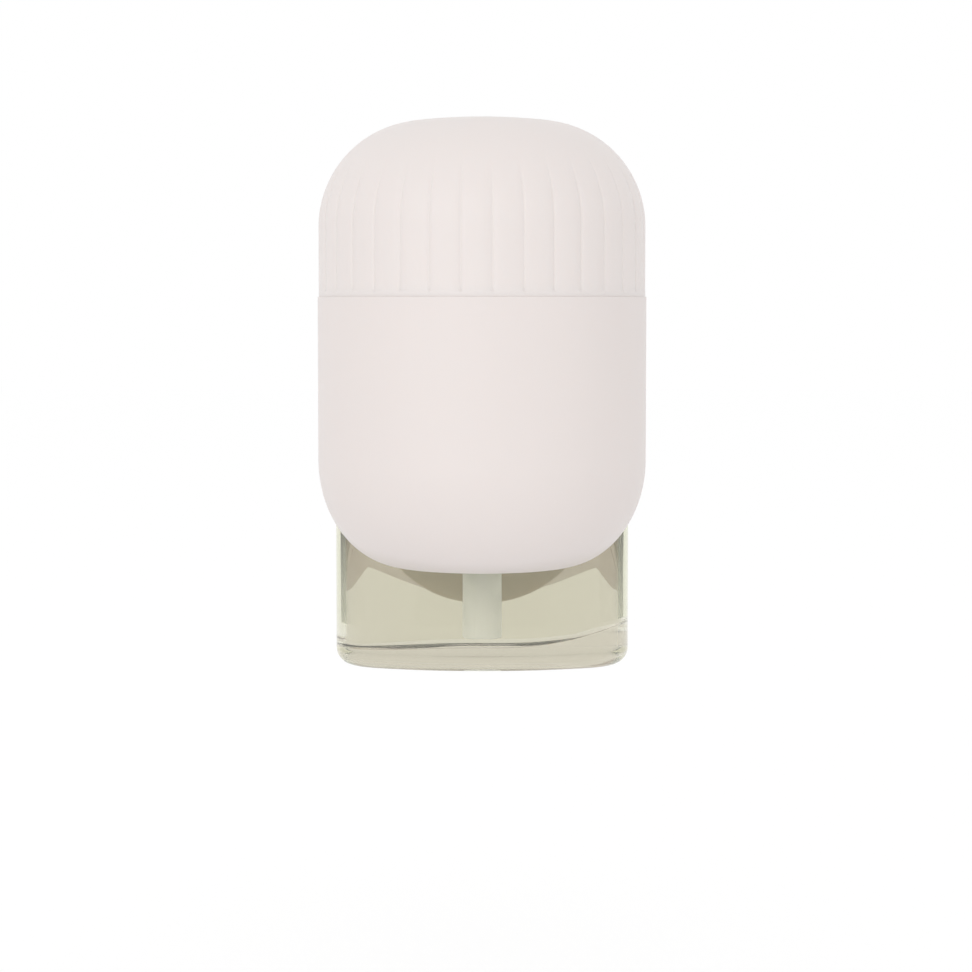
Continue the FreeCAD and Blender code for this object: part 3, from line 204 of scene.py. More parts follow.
class SurfaceGroups:
    """The effects that several finishes share, each a node group built once."""

    SOCKETS = {0: "NodeSocketFloat", 3: "NodeSocketVector", 4: "NodeSocketColor"}

    def __init__(self) -> None:
        """Build both groups."""
        grey = (0.8, 0.8, 0.8, 1.0)
        self.moulded = self._group(
            "moulded_surface",
            {"Base": grey, "Tone": 0.02, "Roughness": 0.45, "Spread": 0.05, "Grain Scale": 2600.0},
            self._moulded,
        )
        stretch = (4000.0, 60.0, 4000.0)
        self.drawn = self._group(
            "drawn_metal",
            {"Base": grey, "Dull": (0.5, 0.5, 0.5, 1.0), "Stretch": stretch, "Roughness": 0.3},
            self._drawn,
        )

    def _group(self, name: str, inputs: Inputs, draw: Callable[..., Inputs]) -> bpy.types.NodeTree:
        """Make a node group with Color, Roughness and Height outputs.

        Args:
            name: The group's name.
            inputs: Each input's default.
            draw: Fills the group and gives its outputs.

        Returns:
            The group.
        """
        tree = bpy.data.node_groups.new(name, "ShaderNodeTree")
        for label, default in inputs.items():
            kind = self.SOCKETS[len(default) if isinstance(default, tuple) else 0]
            tree.interface.new_socket(label, in_out="INPUT", socket_type=kind).default_value = default
        for label, size in (("Color", 4), ("Roughness", 0), ("Height", 0)):
            tree.interface.new_socket(label, in_out="OUTPUT", socket_type=self.SOCKETS[size])
        shader = Shader(tree)
        outputs = draw(shader, tree.nodes.new("NodeGroupInput").outputs)
        shader.fill(tree.nodes.new("NodeGroupOutput"), outputs)
        return tree

    @staticmethod
    def _moulded(shader: Shader, given: bpy.types.NodeOutputs) -> Inputs:
        """Moulded plastic: a fine spark-eroded grain, slow tone drift and faint handling marks.

        Args:
            shader: The group under construction.
            given: The group's inputs.

        Returns:
            What goes to its outputs.
        """
        both_ways = {"To Min": -1.0, "To Max": 1.0}
        drift = shader.add("MapRange", {"Value": shader.noise(38.0, 3.0, {"Roughness": 0.55})} | both_ways)
        lift = shader.math("MULTIPLY_ADD", drift, given["Tone"], 1.0)
        marks = shader.add("MapRange", {"Value": shader.noise(160.0, 5.0, {"Roughness": 0.6})} | both_ways)
        return {
            "Color": shader.add("HueSaturation", {"Value": lift, "Color": given["Base"]}),
            "Roughness": shader.math("MULTIPLY_ADD", marks, given["Spread"], given["Roughness"]),
            "Height": shader.noise(given["Grain Scale"], 2.0),
        }

    @staticmethod
    def _drawn(shader: Shader, given: bpy.types.NodeOutputs) -> Inputs:
        """Rolled or drawn metal, or fibre: fine lines along one axis and a mottled tarnish.

        Args:
            shader: The group under construction.
            given: The group's inputs.

        Returns:
            What goes to its outputs.
        """
        mottle = shader.noise(260.0, 4.0)
        share = shader.add("MapRange", {"Value": mottle, "From Min": 0.45, "From Max": 0.75})
        mixed = shader.node("Mix", {0: share, 6: given["Base"], 7: given["Dull"]}, data_type="RGBA")
        where = shader.node("TexCoord").outputs["Object"]
        stretched = shader.add("VectorMath", {0: where, 1: given["Stretch"]}, operation="MULTIPLY")
        return {
            "Color": mixed.outputs[2],
            "Roughness": shader.math("MULTIPLY_ADD", share, 0.2, given["Roughness"]),
            "Height": shader.noise(1.0, 3.0, {"Vector": stretched}),
        }


@dataclass(frozen=True)
class Finish:
    """What every finish has."""

    name: str  # The material's name.
    nodes: str  # The CAD nodes that have it, with spaces between them.

    def material(self, groups: SurfaceGroups) -> Material:
        """Build the material.

        Args:
            groups: The shared node groups.

        Returns:
            The material.
        """
        material = bpy.data.materials.new(self.name)
        material.use_nodes = True
        self.dress(Shader(material.node_tree), groups)
        return material

    def dress(self, shader: Shader, groups: SurfaceGroups) -> None:
        """Fill the material; each kind of finish has its own way."""
        raise NotImplementedError


@dataclass(frozen=True)
class PlasticFinish(Finish):
    """A moulded plastic with a fine grain, a drifting tone and a little depth."""

    colour: Colour
    roughness: float = 0.42
    grain: float = 0.00001  # Height of the moulded grain.
    grain_scale: float = 2600.0  # How many grains fit in a metre.
    glow: float = 0.0  # How much light goes in under the surface.
    coat: float = 0.0  # Weight of the glossy skin.

    def dress(self, shader: Shader, groups: SurfaceGroups) -> None:
        """Fill the material."""
        shader.lay(groups.moulded, self.grain, 0.6, {
            "Base": self.colour, "Tone": 0.012, "Roughness": self.roughness, "Grain Scale": self.grain_scale,
        })
        shader.fill(shader.principled, {
            "IOR": 1.49, "Coat Weight": self.coat, "Coat Roughness": 0.25, "Subsurface Weight": self.glow,
            "Subsurface Radius": (1.0, 0.85, 0.75), "Subsurface Scale": 0.0008,
        })


@dataclass(frozen=True)
class MetalFinish(Finish):
    """A rolled or drawn metal with fine lines and a mottled tarnish."""

    colour: Colour  # The clean metal.
    dull: Colour  # The metal where it has tarnished.
    roughness: float = 0.28
    stretch: Place = (4000.0, 60.0, 4000.0)  # Lines in a metre; the least is their way.

    def dress(self, shader: Shader, groups: SurfaceGroups) -> None:
        """Fill the material."""
        shader.lay(groups.drawn, 0.00002, 0.4, {
            "Base": self.colour, "Dull": self.dull, "Roughness": self.roughness, "Stretch": self.stretch,
        })
        shader.fill(shader.principled, {"Metallic": 1.0})


@dataclass(frozen=True)
class FibreFinish(Finish):
    """A bonded fibre rod: fine upright strands with a dry, open surface."""

    colour: Colour  # The strands.
    shade: Colour  # Between the strands.
    glow: float = 0.5  # How much light goes in under the surface and comes out again.

    def dress(self, shader: Shader, groups: SurfaceGroups) -> None:
        """Fill the material."""
        shader.lay(groups.drawn, 0.0001, 0.8, {
            "Base": self.colour, "Dull": self.shade, "Roughness": 0.75, "Stretch": (5200.0, 5200.0, 300.0),
        })
        shader.fill(shader.principled, {
            "Sheen Weight": 0.3, "Subsurface Weight": self.glow,
            "Subsurface Radius": (1.0, 1.0, 0.95), "Subsurface Scale": 0.002,
        })


@dataclass(frozen=True)
class GlassFinish(Finish):
    """Clear moulded glass, or the oil; rays from the lamps pass straight through."""

    index: float  # Refractive index of what is behind the face over what is before it.
    tint_and_painted_shade: Colour = WHITE  # The colour that one face gives to what is seen through it: a glass tint, and on the refill mostly painted shade for what stands behind the glass.
    shade: Colour = (0.96, 0.96, 0.96)  # What a lamp's light keeps on its way through one face.
    waviness: float = 0.0  # Height of the slow mould waves in the surface.
    depth_colour: Colour | None = None  # The colour that a thick layer takes, if it absorbs.
    density: float = 0.0  # How fast the layer takes that colour, per metre.
    top_index: float | None = None  # Refractive index at the top, where that differs.
    top_start: float = 0.0015  # Height above which faces that aren't upright are the top.
    top_tilt: float = 0.1  # Upward part of the normal from which a face isn't upright.

    def dress(self, shader: Shader, groups: SurfaceGroups) -> None:
        """Fill the material.

        Args:
            shader: The material under construction.
            groups: The shared node groups; not used.
        """
        index = self._index_by_side(shader) if self.top_index else self.index
        looks = {"Base Color": self.tint_and_painted_shade, "Roughness": 0.0, "IOR": index, "Transmission Weight": 1.0}
        if self.waviness:
            looks["Normal"] = shader.bump(shader.noise(85.0, 1.0), self.waviness, 1.0)
        shader.fill(shader.principled, looks)
        path = shader.node("LightPath").outputs
        soft = shader.math("MAXIMUM", path["Is Shadow Ray"], path["Is Diffuse Ray"])
        deep = shader.math("GREATER_THAN", path["Ray Depth"], DEEPEST_BEND)
        clear = shader.add("BsdfTransparent", {"Color": self.shade})
        mixed = shader.mix(shader.math("MAXIMUM", soft, deep), shader.principled.outputs[0], clear)
        shader.fill(shader.output, {"Surface": mixed})
        if self.depth_colour:
            layer = {"Density": self.density, "Color": self.depth_colour}
            shader.fill(shader.output, {"Volume": shader.add("VolumeAbsorption", layer)})

    def _index_by_side(self, shader: Shader) -> Socket:
        """Give the faces at the top their own refractive index.

        Args:
            shader: The material under construction.

        Returns:
            The index.
        """
        normal = shader.node("NewGeometry").outputs["True Normal"]
        tilt = shader.math("ABSOLUTE", shader.node("SeparateXYZ", {"Vector": normal}).outputs["Z"])
        where = shader.node("TexCoord").outputs["Object"]
        height = shader.node("SeparateXYZ", {"Vector": where}).outputs["Z"]
        level = shader.math("GREATER_THAN", tilt, self.top_tilt)
        both = shader.math("MULTIPLY", shader.math("GREATER_THAN", height, self.top_start), level)
        return shader.math("MULTIPLY_ADD", both, self.top_index - self.index, self.index)


@dataclass(frozen=True)
class FloorFinish(Finish):
    """A pale floor that looks all but white and still takes the warmer's shadow."""

    colour: Colour = (0.92, 0.92, 0.92)
    share: float = 0.72  # How much of what is seen of it is an even white.
    white: float = 1.08  # How bright that white is.

    def dress(self, shader: Shader, groups: SurfaceGroups) -> None:
        """Fill the material.

        Args:
            shader: The material under construction.
            groups: The shared node groups; not used.
        """
        shader.fill(shader.principled, {"Base Color": self.colour, "Roughness": 0.9})
        share = shader.math("MULTIPLY", shader.directly_seen(), self.share)
        white = shader.add("Emission", {"Color": WHITE, "Strength": self.white})
        shader.fill(shader.output, {"Surface": shader.mix(share, shader.principled.outputs[0], white)})


class Palette:
    """Every finish of the warmer, built once and kept by name and by node."""

    ALONG_X = (60.0, 4000.0, 4000.0)
    FINISHES: tuple[Finish, ...] = (
        PlasticFinish(
            "shell_satin", "front_shell rear_housing plug_cover", (0.832, 0.766, 0.742),
            roughness=0.43, glow=0.1,
        ),
        PlasticFinish(
            "cap_satin", "fluted_cap vent_grille", (0.838, 0.776, 0.752),
            roughness=0.40, glow=0.1,
        ),
        PlasticFinish("slider_satin", "vent_slider", (0.78, 0.73, 0.71), roughness=0.38),
        PlasticFinish("turret_matt", "plug_turret", (0.74, 0.70, 0.68), roughness=0.5, grain=0.00002),
        PlasticFinish("inner_plain", "contact_carrier chassis", (0.66, 0.64, 0.61), roughness=0.5),
        PlasticFinish("heat_plain", "heater_carrier chimney", (0.58, 0.55, 0.5), roughness=0.55),
        PlasticFinish(
            "holder_white", "neck_clip wick_holder bottle_collar", (0.84, 0.83, 0.80),
            roughness=0.35,
        ),
        PlasticFinish(
            "heater_ceramic", "heater_block", (0.76, 0.72, 0.66),
            roughness=0.8, grain=0.00005, grain_scale=1500.0,
        ),
        PlasticFinish(
            "resistor_lacquer", "heater_resistor_left heater_resistor_right", (0.18, 0.32, 0.22),
            roughness=0.3, coat=0.5,
        ),
        PlasticFinish("fuse_lacquer", "thermal_fuse", (0.42, 0.24, 0.11), roughness=0.35, coat=0.4),
        PlasticFinish("lead_black_sleeve", "lead_line", (0.02, 0.02, 0.022), roughness=0.45),
        PlasticFinish("lead_white_sleeve", "lead_neutral", (0.76, 0.75, 0.72), roughness=0.45),
        MetalFinish(
            "blade_brass", "blade_line blade_neutral", (0.80, 0.62, 0.32), (0.62, 0.45, 0.22),
            roughness=0.22,
        ),
        MetalFinish(
            "contact_brass", "contact_ring_line contact_ring_neutral heater_terminals",
            (0.77, 0.58, 0.30), (0.52, 0.38, 0.2), stretch=ALONG_X,
        ),
        MetalFinish(
            "zinc_steel", "housing_screws chassis_screws carrier_screws",
            (0.62, 0.62, 0.60), (0.42, 0.42, 0.42), roughness=0.34,
        ),
        MetalFinish("spring_steel", "detent_spring", (0.58, 0.58, 0.6), (0.4, 0.4, 0.42), stretch=ALONG_X),
        # This tint is mostly painted shade: it darkens and yellows all that is seen through the refill, as
        # if what stands behind it were in shade.
        GlassFinish("refill_glass", "bottle_glass", 1.5, tint_and_painted_shade=(0.61, 0.575, 0.465), waviness=0.00006),
        GlassFinish("glass_to_oil", "", 1.0, shade=WHITE),
        GlassFinish("glass_under_oil", "", 1.5 / 1.455, shade=WHITE, waviness=0.0001),
        GlassFinish(
            "scented_oil", "scented_oil", 1.0,
            shade=(1.0, 1.0, 0.97), depth_colour=(0.84, 0.95, 0.5), density=5.0, top_index=1.46,
        ),
        FibreFinish("wick_fibre", "wick", (0.93, 0.94, 0.93), (0.80, 0.81, 0.80)),
        FloorFinish("floor_white", ""),
    )

    def __init__(self) -> None:
        """Build each finish's material."""
        groups = SurfaceGroups()
        self.materials = {finish.name: finish.material(groups) for finish in self.FINISHES}
        pairs = [(node, finish.name) for finish in self.FINISHES for node in finish.nodes.split()]
        self.of_node = {node: self.materials[name] for node, name in pairs}

    def __getitem__(self, name: str) -> Material:
        """Return the material of that name."""
        return self.materials[name]

    def dress(self, nodes: dict[str, Piece]) -> None:
        """Give every CAD node the finish that it has on the real warmer.

        Args:
            nodes: The frame's nodes by name.
        """
        for name, node in nodes.items():
            node.data.materials.clear()
            node.data.materials.append(self.of_node[name])


def place_in_scene(name: str, data: bpy.types.ID) -> Piece:
    """Put an object in the scene.

    Args:
        name: Its name.
        data: Its mesh, lamp or camera.

    Returns:
        The object.
    """
    piece = bpy.data.objects.new(name, data)
    bpy.context.scene.collection.objects.link(piece)
    return piece


def finish_mesh(
    shape: Mesh, name: str, materials: Sequence[Material], smooth_angle: float = 36.0
) -> Piece:
    """Turn a bmesh into a smooth shaded object at the origin.

    Args:
        shape: The mesh in world places; it is freed.
        name: The object's name.
        materials: Its material slots in order.
        smooth_angle: Edges that turn more than this many degrees stay crisp.

    Returns:
        The new object.
    """
    mesh = bpy.data.meshes.new(name)
    for face in shape.faces:
        face.smooth = True
    shape.to_mesh(mesh)
    shape.free()
    mesh.set_sharp_from_angle(angle=math.radians(smooth_angle))
    for material in materials:
        mesh.materials.append(material)
    return place_in_scene(name, mesh)


def apply_modifier(piece: Piece, kind: str, **settings: object) -> None:
    """Change a piece's mesh for good.

    Args:
        piece: The object.
        kind: The modifier's type.
        **settings: The modifier's properties.
    """
    change = piece.modifiers.new(kind.lower(), kind)
    for key, value in settings.items():
        setattr(change, key, value)
    graph = bpy.context.evaluated_depsgraph_get()
    made = bpy.data.meshes.new_from_object(piece.evaluated_get(graph))
    piece.modifiers.clear()
    old = piece.data
    piece.data = made
    made.name = piece.name
    bpy.data.meshes.remove(old)


def combine(piece: Piece, shapes: Sequence[Mesh], operation: str) -> None:
    """Join closed shapes to a piece, or cut them out of it.

    Args:
        piece: The object to change.
        shapes: The closed shapes; they are freed.
        operation: UNION or DIFFERENCE.
    """
    for number, shape in enumerate(shapes):
        tool = finish_mesh(shape, f"tool_{number}", [])
        apply_modifier(piece, "BOOLEAN", operation=operation, solver="EXACT", object=tool)
        mesh = tool.data
        bpy.data.objects.remove(tool)
        bpy.data.meshes.remove(mesh)


def round_edges(shape: Mesh, edges: list[Edge], radius: float, segments: int) -> None:
    """Round edges off by a radius in millimetres, in so many steps."""
    bmesh.ops.bevel(
        shape, geom=edges, offset=radius * MM, segments=segments, profile=0.5, affect="EDGES",
        material=-1, clamp_overlap=False,
    )


def rounded_block(low: Place, high: Place, corner: float) -> Mesh:
    """A closed block between two corners with its upright edges rounded, in millimetres.

    Args:
        low: Its lowest corner.
        high: Its highest corner.
        corner: The rounding.

    Returns:
        The block.
    """
    shape = bmesh.new()
    bmesh.ops.create_cube(shape, size=1.0)
    bmesh.ops.scale(shape, vec=[(b - a) * MM for a, b in zip(low, high)], verts=shape.verts)
    bmesh.ops.translate(shape, vec=[(a + b) / 2 * MM for a, b in zip(low, high)], verts=shape.verts)
    upright = [edge for edge in shape.edges if (edge.verts[0].co - edge.verts[1].co).xy.length < IN_PLANE]
    round_edges(shape, upright, corner, 6)
    return shape


def draw_out(shape: Mesh, row: list[Vert], closed: bool) -> list[Vert]:
    """Extrude the edges that join a row of points.

    Args:
        shape: The mesh.
        row: The points in order.
        closed: Whether they are a ring.

    Returns:
        The new row in the same order, still in the old one's place.
    """
    pairs = zip(row, row[1:] + row[:1] if closed else row[1:])
    made = bmesh.ops.extrude_edge_only(shape, edges=[shape.edges.get(pair) for pair in pairs])["geom"]
    fresh = {item for item in made if isinstance(item, Vert)}
    return [next(e.other_vert(v) for e in v.link_edges if e.other_vert(v) in fresh) for v in row]


@dataclass
class MouldedPieces:
    """Pieces that keep the solid's form and get the soft edges of a moulded or pressed part."""

    palette: Palette
    nodes: dict[str, Piece]
    crisp_angle: float = 35.0  # Outer edges that turn more than this many degrees are rounded.
    flat_angle: float = 0.3  # Faces that turn less than this are one face.

    # Each piece's rounding in millimetres, the steps round it and the body that it moves with.
    ROUNDINGS = {
        "front_shell": (0.06, 3, Body.HOUSING),
        "rear_housing": (0.18, 3, Body.HOUSING),
        "plug_cover": (0.3, 3, Body.HOUSING),
        "vent_grille": (0.2, 3, Body.HOUSING),
        "vent_slider": (0.3, 4, Body.SLIDER),
        "plug_turret": (0.2, 3, Body.PLUG),
        "blade_line": (0.12, 3, Body.PLUG),
        "blade_neutral": (0.12, 3, Body.PLUG),
        "housing_screws": (0.15, 3, Body.HOUSING),
        "neck_clip": (0.2, 3, Body.HOUSING),
        "heater_carrier": (0.2, 3, Body.HOUSING),
        "bottle_collar": (0.2, 3, Body.REFILL),
    }

    def build(self) -> None:
        """Make every piece of the table."""
        for name, (radius, segments, body) in self.ROUNDINGS.items():
            piece = self._soften(name, radius, segments)
            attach(piece, body.value)
            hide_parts(name)
            LOG.info("%s: %d faces", piece.name, len(piece.data.polygons))

    def _soften(self, name: str, radius: float, segments: int) -> Piece:
        """Round the crisp outer edges of a merged copy of one node.

        Args:
            name: The node's name.
            radius: The rounding, in millimetres.
            segments: Steps round it.

        Returns:
            The new piece.
        """
        shape = bmesh.new()
        shape.from_mesh(self.nodes[name].data)
        bmesh.ops.remove_doubles(shape, verts=shape.verts, dist=SAME_ON_SOLID)
        flat = math.radians(self.flat_angle)
        bmesh.ops.dissolve_limit(shape, angle_limit=flat, verts=shape.verts, edges=shape.edges)
        surface = BVHTree.FromBMesh(shape)
        least = math.radians(self.crisp_angle)
        outer = [edge for edge in shape.edges if edge.is_manifold and edge.is_convex]
        round_edges(shape, [edge for edge in outer if edge.calc_face_angle(0.0) >= least], radius, segments)
        # A point that the rounding threw off the solid goes back to its surface.
        for vert in shape.verts:
            nearest, _, _, distance = surface.find_nearest(vert.co)
            if distance > radius * MM / 2:
                vert.co = nearest
        piece = finish_mesh(shape, name + "_piece", [self.palette.of_node[name]])
        # The wide faces set the normals, so that only the rounded edges shade.
        apply_modifier(piece, "WEIGHTED_NORMAL", keep_sharp=True, weight=60)
        return piece


@dataclass
class FlutedCap:
    """The domed cap with its flutes: round in front and straight sided behind."""

    palette: Palette
    axis_y: float = -37.0  # Where the round front's upright axis stands.
    radius: float = 29.0  # Half its width.
    seam: float = 41.5  # Height of its lower edge.
    back: float = -2.2  # Where its flat back is.
    rear_rounding: float = 6.8  # Rounding of the edge round the back.
    dome_x: float = 10.3  # Where the dome's corner is centred, across.
    dome_z: float = 53.8  # Where it is centred, up.
    dome_radius: float = 18.7
    top: float = 73.1  # Height of its highest point.
    wall: float = 1.8
    crisp: float = 30.0  # Edges that turn more than this many degrees stay crisp.
    pitch: float = 5.41  # From one flute to the next along the surface.
    offset: float = 1.8  # How far the flute next to the middle is to the right of it.
    groove_half: float = 0.45  # Half the width of a flute.
    groove_depth: float = 0.17  # How deep it is.
    groove_foot: float = 0.8  # How far above the seam the flutes begin.
    foot_round: float = 0.02  # Rounding of the lower edge.
    foot_run: Span = (-0.1, 0.3)  # Heights over their foot between which they get deep.
    top_run: Span = (57.5, 66.5)  # Heights between which they run out.
    side_run: Span = (3.0, 0.5)  # How far before the rounding of the back they begin and end to run out.
    flatness: float = 0.8  # How flat the land between two flutes is, from 0, round, to 1.
    vent_y: float = -31.0  # Where the middle of the vent is.
    vent_width: float = 15.0  # Width of the grille's seat.
    vent_length: float = 12.0
    vent_corner: float = 2.5
    vent_rest: float = 0.8  # How far the seat goes past the throat below it.
    ledge: float = 71.2  # Height of the ledge that the grille rests on.
    rim_width: float = 1.5  # How far the thicker rim under the top goes past the seat.
    rim_span: Span = (-1.0, 0.9)  # Where the rim begins and ends, over the ledge.
    slot_width: float = 4.4
    slot_length: float = 11.1
    slot_back: float = -10.7  # Where the slot ends behind.
    slot_corner: float = 0.6
    clearance: float = 2.0  # How far the cuts go past the moulding.

    # The mesh's columns, over half a flute's width from its middle and over the land's width.
    GROOVE_COLUMNS = (-1.0, -0.62, -0.28, 0.0, 0.28, 0.62, 1.0)
    LAND_COLUMNS = (0.25, 0.5, 0.75)

    def __post_init__(self) -> None:
        """Work out the length round the front and that of a straight side."""
        self.half_turn = math.pi * self.radius
        self.side = self.back - self.rear_rounding - self.axis_y

    def build(self) -> None:
        """Make the cap and cut the vent and the slider's slot in it."""
        shape = bmesh.new()
        self._sweep(shape)
        self._close_back(shape)
        bmesh.ops.remove_doubles(shape, verts=shape.verts, dist=SAME_ON_MESH)
        bmesh.ops.recalc_face_normals(shape, faces=shape.faces)
        piece = finish_mesh(shape, "fluted_cap_piece", [self.palette["cap_satin"]], self.crisp)
        apply_modifier(piece, "SOLIDIFY", thickness=self.wall * MM, offset=-1.0, use_even_offset=True)
        low, high = (self.ledge + height for height in self.rim_span)
        combine(piece, [self._vent_block(self.rim_width, low, high)], "UNION")
        low, high = self.ledge - self.clearance, self.top + self.clearance
        throat = self._vent_block(-self.vent_rest, low - self.clearance, high)
        seat = self._vent_block(0.0, self.ledge, high)
        half, back = self.slot_width / 2, self.slot_back
        slot = rounded_block((-half, back - self.slot_length, low), (half, back, high), self.slot_corner)
        combine(piece, [throat, seat, slot], "DIFFERENCE")
        piece.data.set_sharp_from_angle(angle=math.radians(self.crisp))
        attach(piece, Body.HOUSING.value)
        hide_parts("fluted_cap")
        LOG.info("%s: %d faces", piece.name, len(piece.data.polygons))

    def _section(self) -> list[tuple[float, float, float, float]]:
        """Points of the right half of the front outline, from the top to the seam.

        Returns:
            Each point's place across and up, and the outward direction there.
        """
        rise = self.top - self.dome_z - self.dome_radius
        crown = (self.dome_x**2 + rise**2 + 2 * self.dome_radius * rise) / (2 * rise)
        lean = math.asin(self.dome_x / (crown - self.dome_radius))
        arcs = [(0.0, self.top - crown, crown, lean * step / 8) for step in range(9)]
        for step in range(1, 33):
            angle = lean + (math.pi / 2 - lean) * step / 32
            arcs.append((self.dome_x, self.dome_z, self.dome_radius, angle))
        points = []
        for x, z, radius, angle in arcs:
            across, up = math.sin(angle), math.cos(angle)
            points.append((x + radius * across, z + radius * up, across, up))
        foot = self.seam + self.groove_foot
        levels = [self.dome_z - drop for drop in (2, 4, 6, 8)]
        levels += [foot + 0.9, foot + 0.4, foot + 0.15, foot - 0.05, self.seam + 0.35]
        points += [(self.radius, level, 1.0, 0.0) for level in levels]
        for inset, rise in quarter(4):
            point = (self.radius - self.foot_round * inset, self.seam + self.foot_round * rise)
            points.append((*point, 1.0, 0.0))
        return points

    def _columns(self) -> list[float]:
        """Where the mesh has columns, as lengths round the front from its right side.

        Returns:
            The lengths, in order.
        """
        middle = self.half_turn / 2
        marks = {0.0, self.half_turn}
        count = int((middle + self.side) / self.pitch) + 2
        for number in range(-count, count + 1):
            centre = middle - self.offset - number * self.pitch
            edge, land = centre + self.groove_half, self.pitch - 2 * self.groove_half
            marks |= {centre + step * self.groove_half for step in self.GROOVE_COLUMNS}
            marks |= {edge + land * share for share in self.LAND_COLUMNS}
        front = self._spaced(mark for mark in marks if 0 <= mark <= self.half_turn)
        behind = self._spaced(
            [-mark for mark in marks if -self.side <= mark < 0]
            + [mark - self.half_turn for mark in marks if 0 < mark - self.half_turn <= self.side]
            + [self.side]
        )
        return [-reach for reach in reversed(behind)] + front + [self.half_turn + reach for reach in behind]

    @staticmethod
    def _spaced(marks: Iterable[float], least: float = 0.03) -> list[float]:
        """Sort lengths and leave out any that all but repeats the one before it.

        Args:
            marks: The lengths.
            least: The least step between two of them.

        Returns:
            The kept lengths, in order.
        """
        kept: list[float] = []
        for mark in sorted(marks):
            if not kept or mark - kept[-1] > least:
                kept.append(mark)
        return kept

    def _sweep(self, shape: Mesh) -> None:
        """Carry the outline round the front and along both sides, and press the flutes in.

        Args:
            shape: The mesh.
        """
        section = self._section()
        column = [shape.verts.new() for _ in section]
        for pair in zip(column, column[1:]):
            shape.edges.new(pair)
        rear = [self.rear_rounding * math.sin(math.radians(step * 9)) for step in range(11)]
        places = [(True, -self.side - reach) for reach in reversed(rear)]
        places += [(False, mark) for mark in self._columns()]
        places += [(True, self.half_turn + self.side + reach) for reach in rear]
        for index, (at_back, mark) in enumerate(places):
            if index:
                column = draw_out(shape, column, closed=False)
            for vert, point in zip(column, section):
                vert.co = self._place(at_back, mark, *point)

    def _place(self, at_back: bool, mark: float, x: float, z: float, across: float, up: float) -> Vector:
        """Where a point of the outline goes in one column.

        Args:
            at_back: Whether the column is on the rounding of the back.
            mark: The column's length round the front.
            x: The point's place across.
            z: Its height.
            across: The outward direction's part across.
            up: Its part upwards.

        Returns:
            The place, in metres.
        """
        behind = max(-mark, mark - self.half_turn, 0.0)
        inset = self._press(mark, z, behind)
        if at_back:
            turn = math.asin(min(1.0, (behind - self.side) / self.rear_rounding))
            inset = self.rear_rounding * (1 - math.cos(turn))
        width = 0.0 if x < self.groove_half / 100 else x - inset * across
        angle = min(self.half_turn, max(0.0, mark)) / self.radius
        y = self.axis_y + behind - width * math.sin(angle)
        return Vector((width * math.cos(angle), y, z - inset * up)) * MM

    def _press(self, mark: float, z: float, behind: float) -> float:
        """How far the surface is drawn in by the flutes and the flat lands between them.

        Args:
            mark: The column's length round the front.
            z: The point's height.
            behind: How far the column is behind the round front.

        Returns:
            The depth.
        """
        half = self.pitch / 2
        from_groove = (mark - self.half_turn / 2 + self.offset + half) % self.pitch - half
        share = max(0.0, 1 - abs(from_groove) / self.groove_half)
        depth = self.groove_depth * smoothstep(0.0, 1.0, share)
        if not behind:
            depth += self.flatness * (half**2 - from_groove**2) / (2 * self.radius)
        low, high = (self.seam + self.groove_foot + height for height in self.foot_run)
        strength = smoothstep(low, high, z) * (1 - smoothstep(*self.top_run, z))
        start, end = (self.side - length for length in self.side_run)
        return depth * strength * (1 - smoothstep(start, end, behind))

    def _close_back(self, shape: Mesh) -> None:
        """Fill the flat back from its rim down to the seam.

        Args:
            shape: The mesh.
        """
        back = self.back * MM
        rim = [edge for edge in shape.edges if edge.is_boundary
               and all(abs(vert.co.y - back) < IN_PLANE for vert in edge.verts)]
        ends = list({vert for edge in rim for vert in edge.verts})
        bmesh.ops.remove_doubles(shape, verts=ends, dist=SAME_ON_MESH)
        rim = [edge for edge in rim if edge.is_valid]
        ends = {vert for edge in rim for vert in edge.verts}
        lowest = min(vert.co.z for vert in ends)
        bottom = shape.edges.new([vert for vert in ends if vert.co.z < lowest + IN_PLANE])
        bmesh.ops.contextual_create(shape, geom=rim + [bottom])

    def _vent_block(self, margin: float, low: float, high: float) -> Mesh:
        """A rounded block about the vent.

        Args:
            margin: How far it goes past the grille's seat on each side.
            low: Its lower face.
            high: Its upper face.

        Returns:
            The block.
        """
        half_x, half_y = self.vent_width / 2 + margin, self.vent_length / 2 + margin
        near, far = (-half_x, self.vent_y - half_y, low), (half_x, self.vent_y + half_y, high)
        return rounded_block(near, far, self.vent_corner)


class Loft:
    """A closed surface that grows ring by ring, in millimetres."""

    def __init__(self, points: int) -> None:
        """Start with a plain ring.

        Args:
            points: How many points it has.
        """
        self.shape = bmesh.new()
        circle = bmesh.ops.create_circle(self.shape, segments=points, radius=1.0, cap_ends=False)
        self.ring: list[Vert] = circle["verts"]

    def grow(self, rings: Iterable[list[Place]]) -> None:
        """Draw the last ring out to the next ones; the very first one is closed with a face.

        Args:
            rings: The places of each ring's points.
        """
        for places in rings:
            if self.shape.faces:
                self.ring = draw_out(self.shape, self.ring, closed=True)
            else:
                self.shape.faces.new(self.ring)
            for vert, place in zip(self.ring, places):
                vert.co = Vector(place) * MM

    def close(self) -> Mesh:
        """Close the last ring with a face.

        Returns:
            The mesh.
        """
        self.shape.faces.new(self.ring)
        bmesh.ops.recalc_face_normals(self.shape, faces=self.shape.faces)
        return self.shape


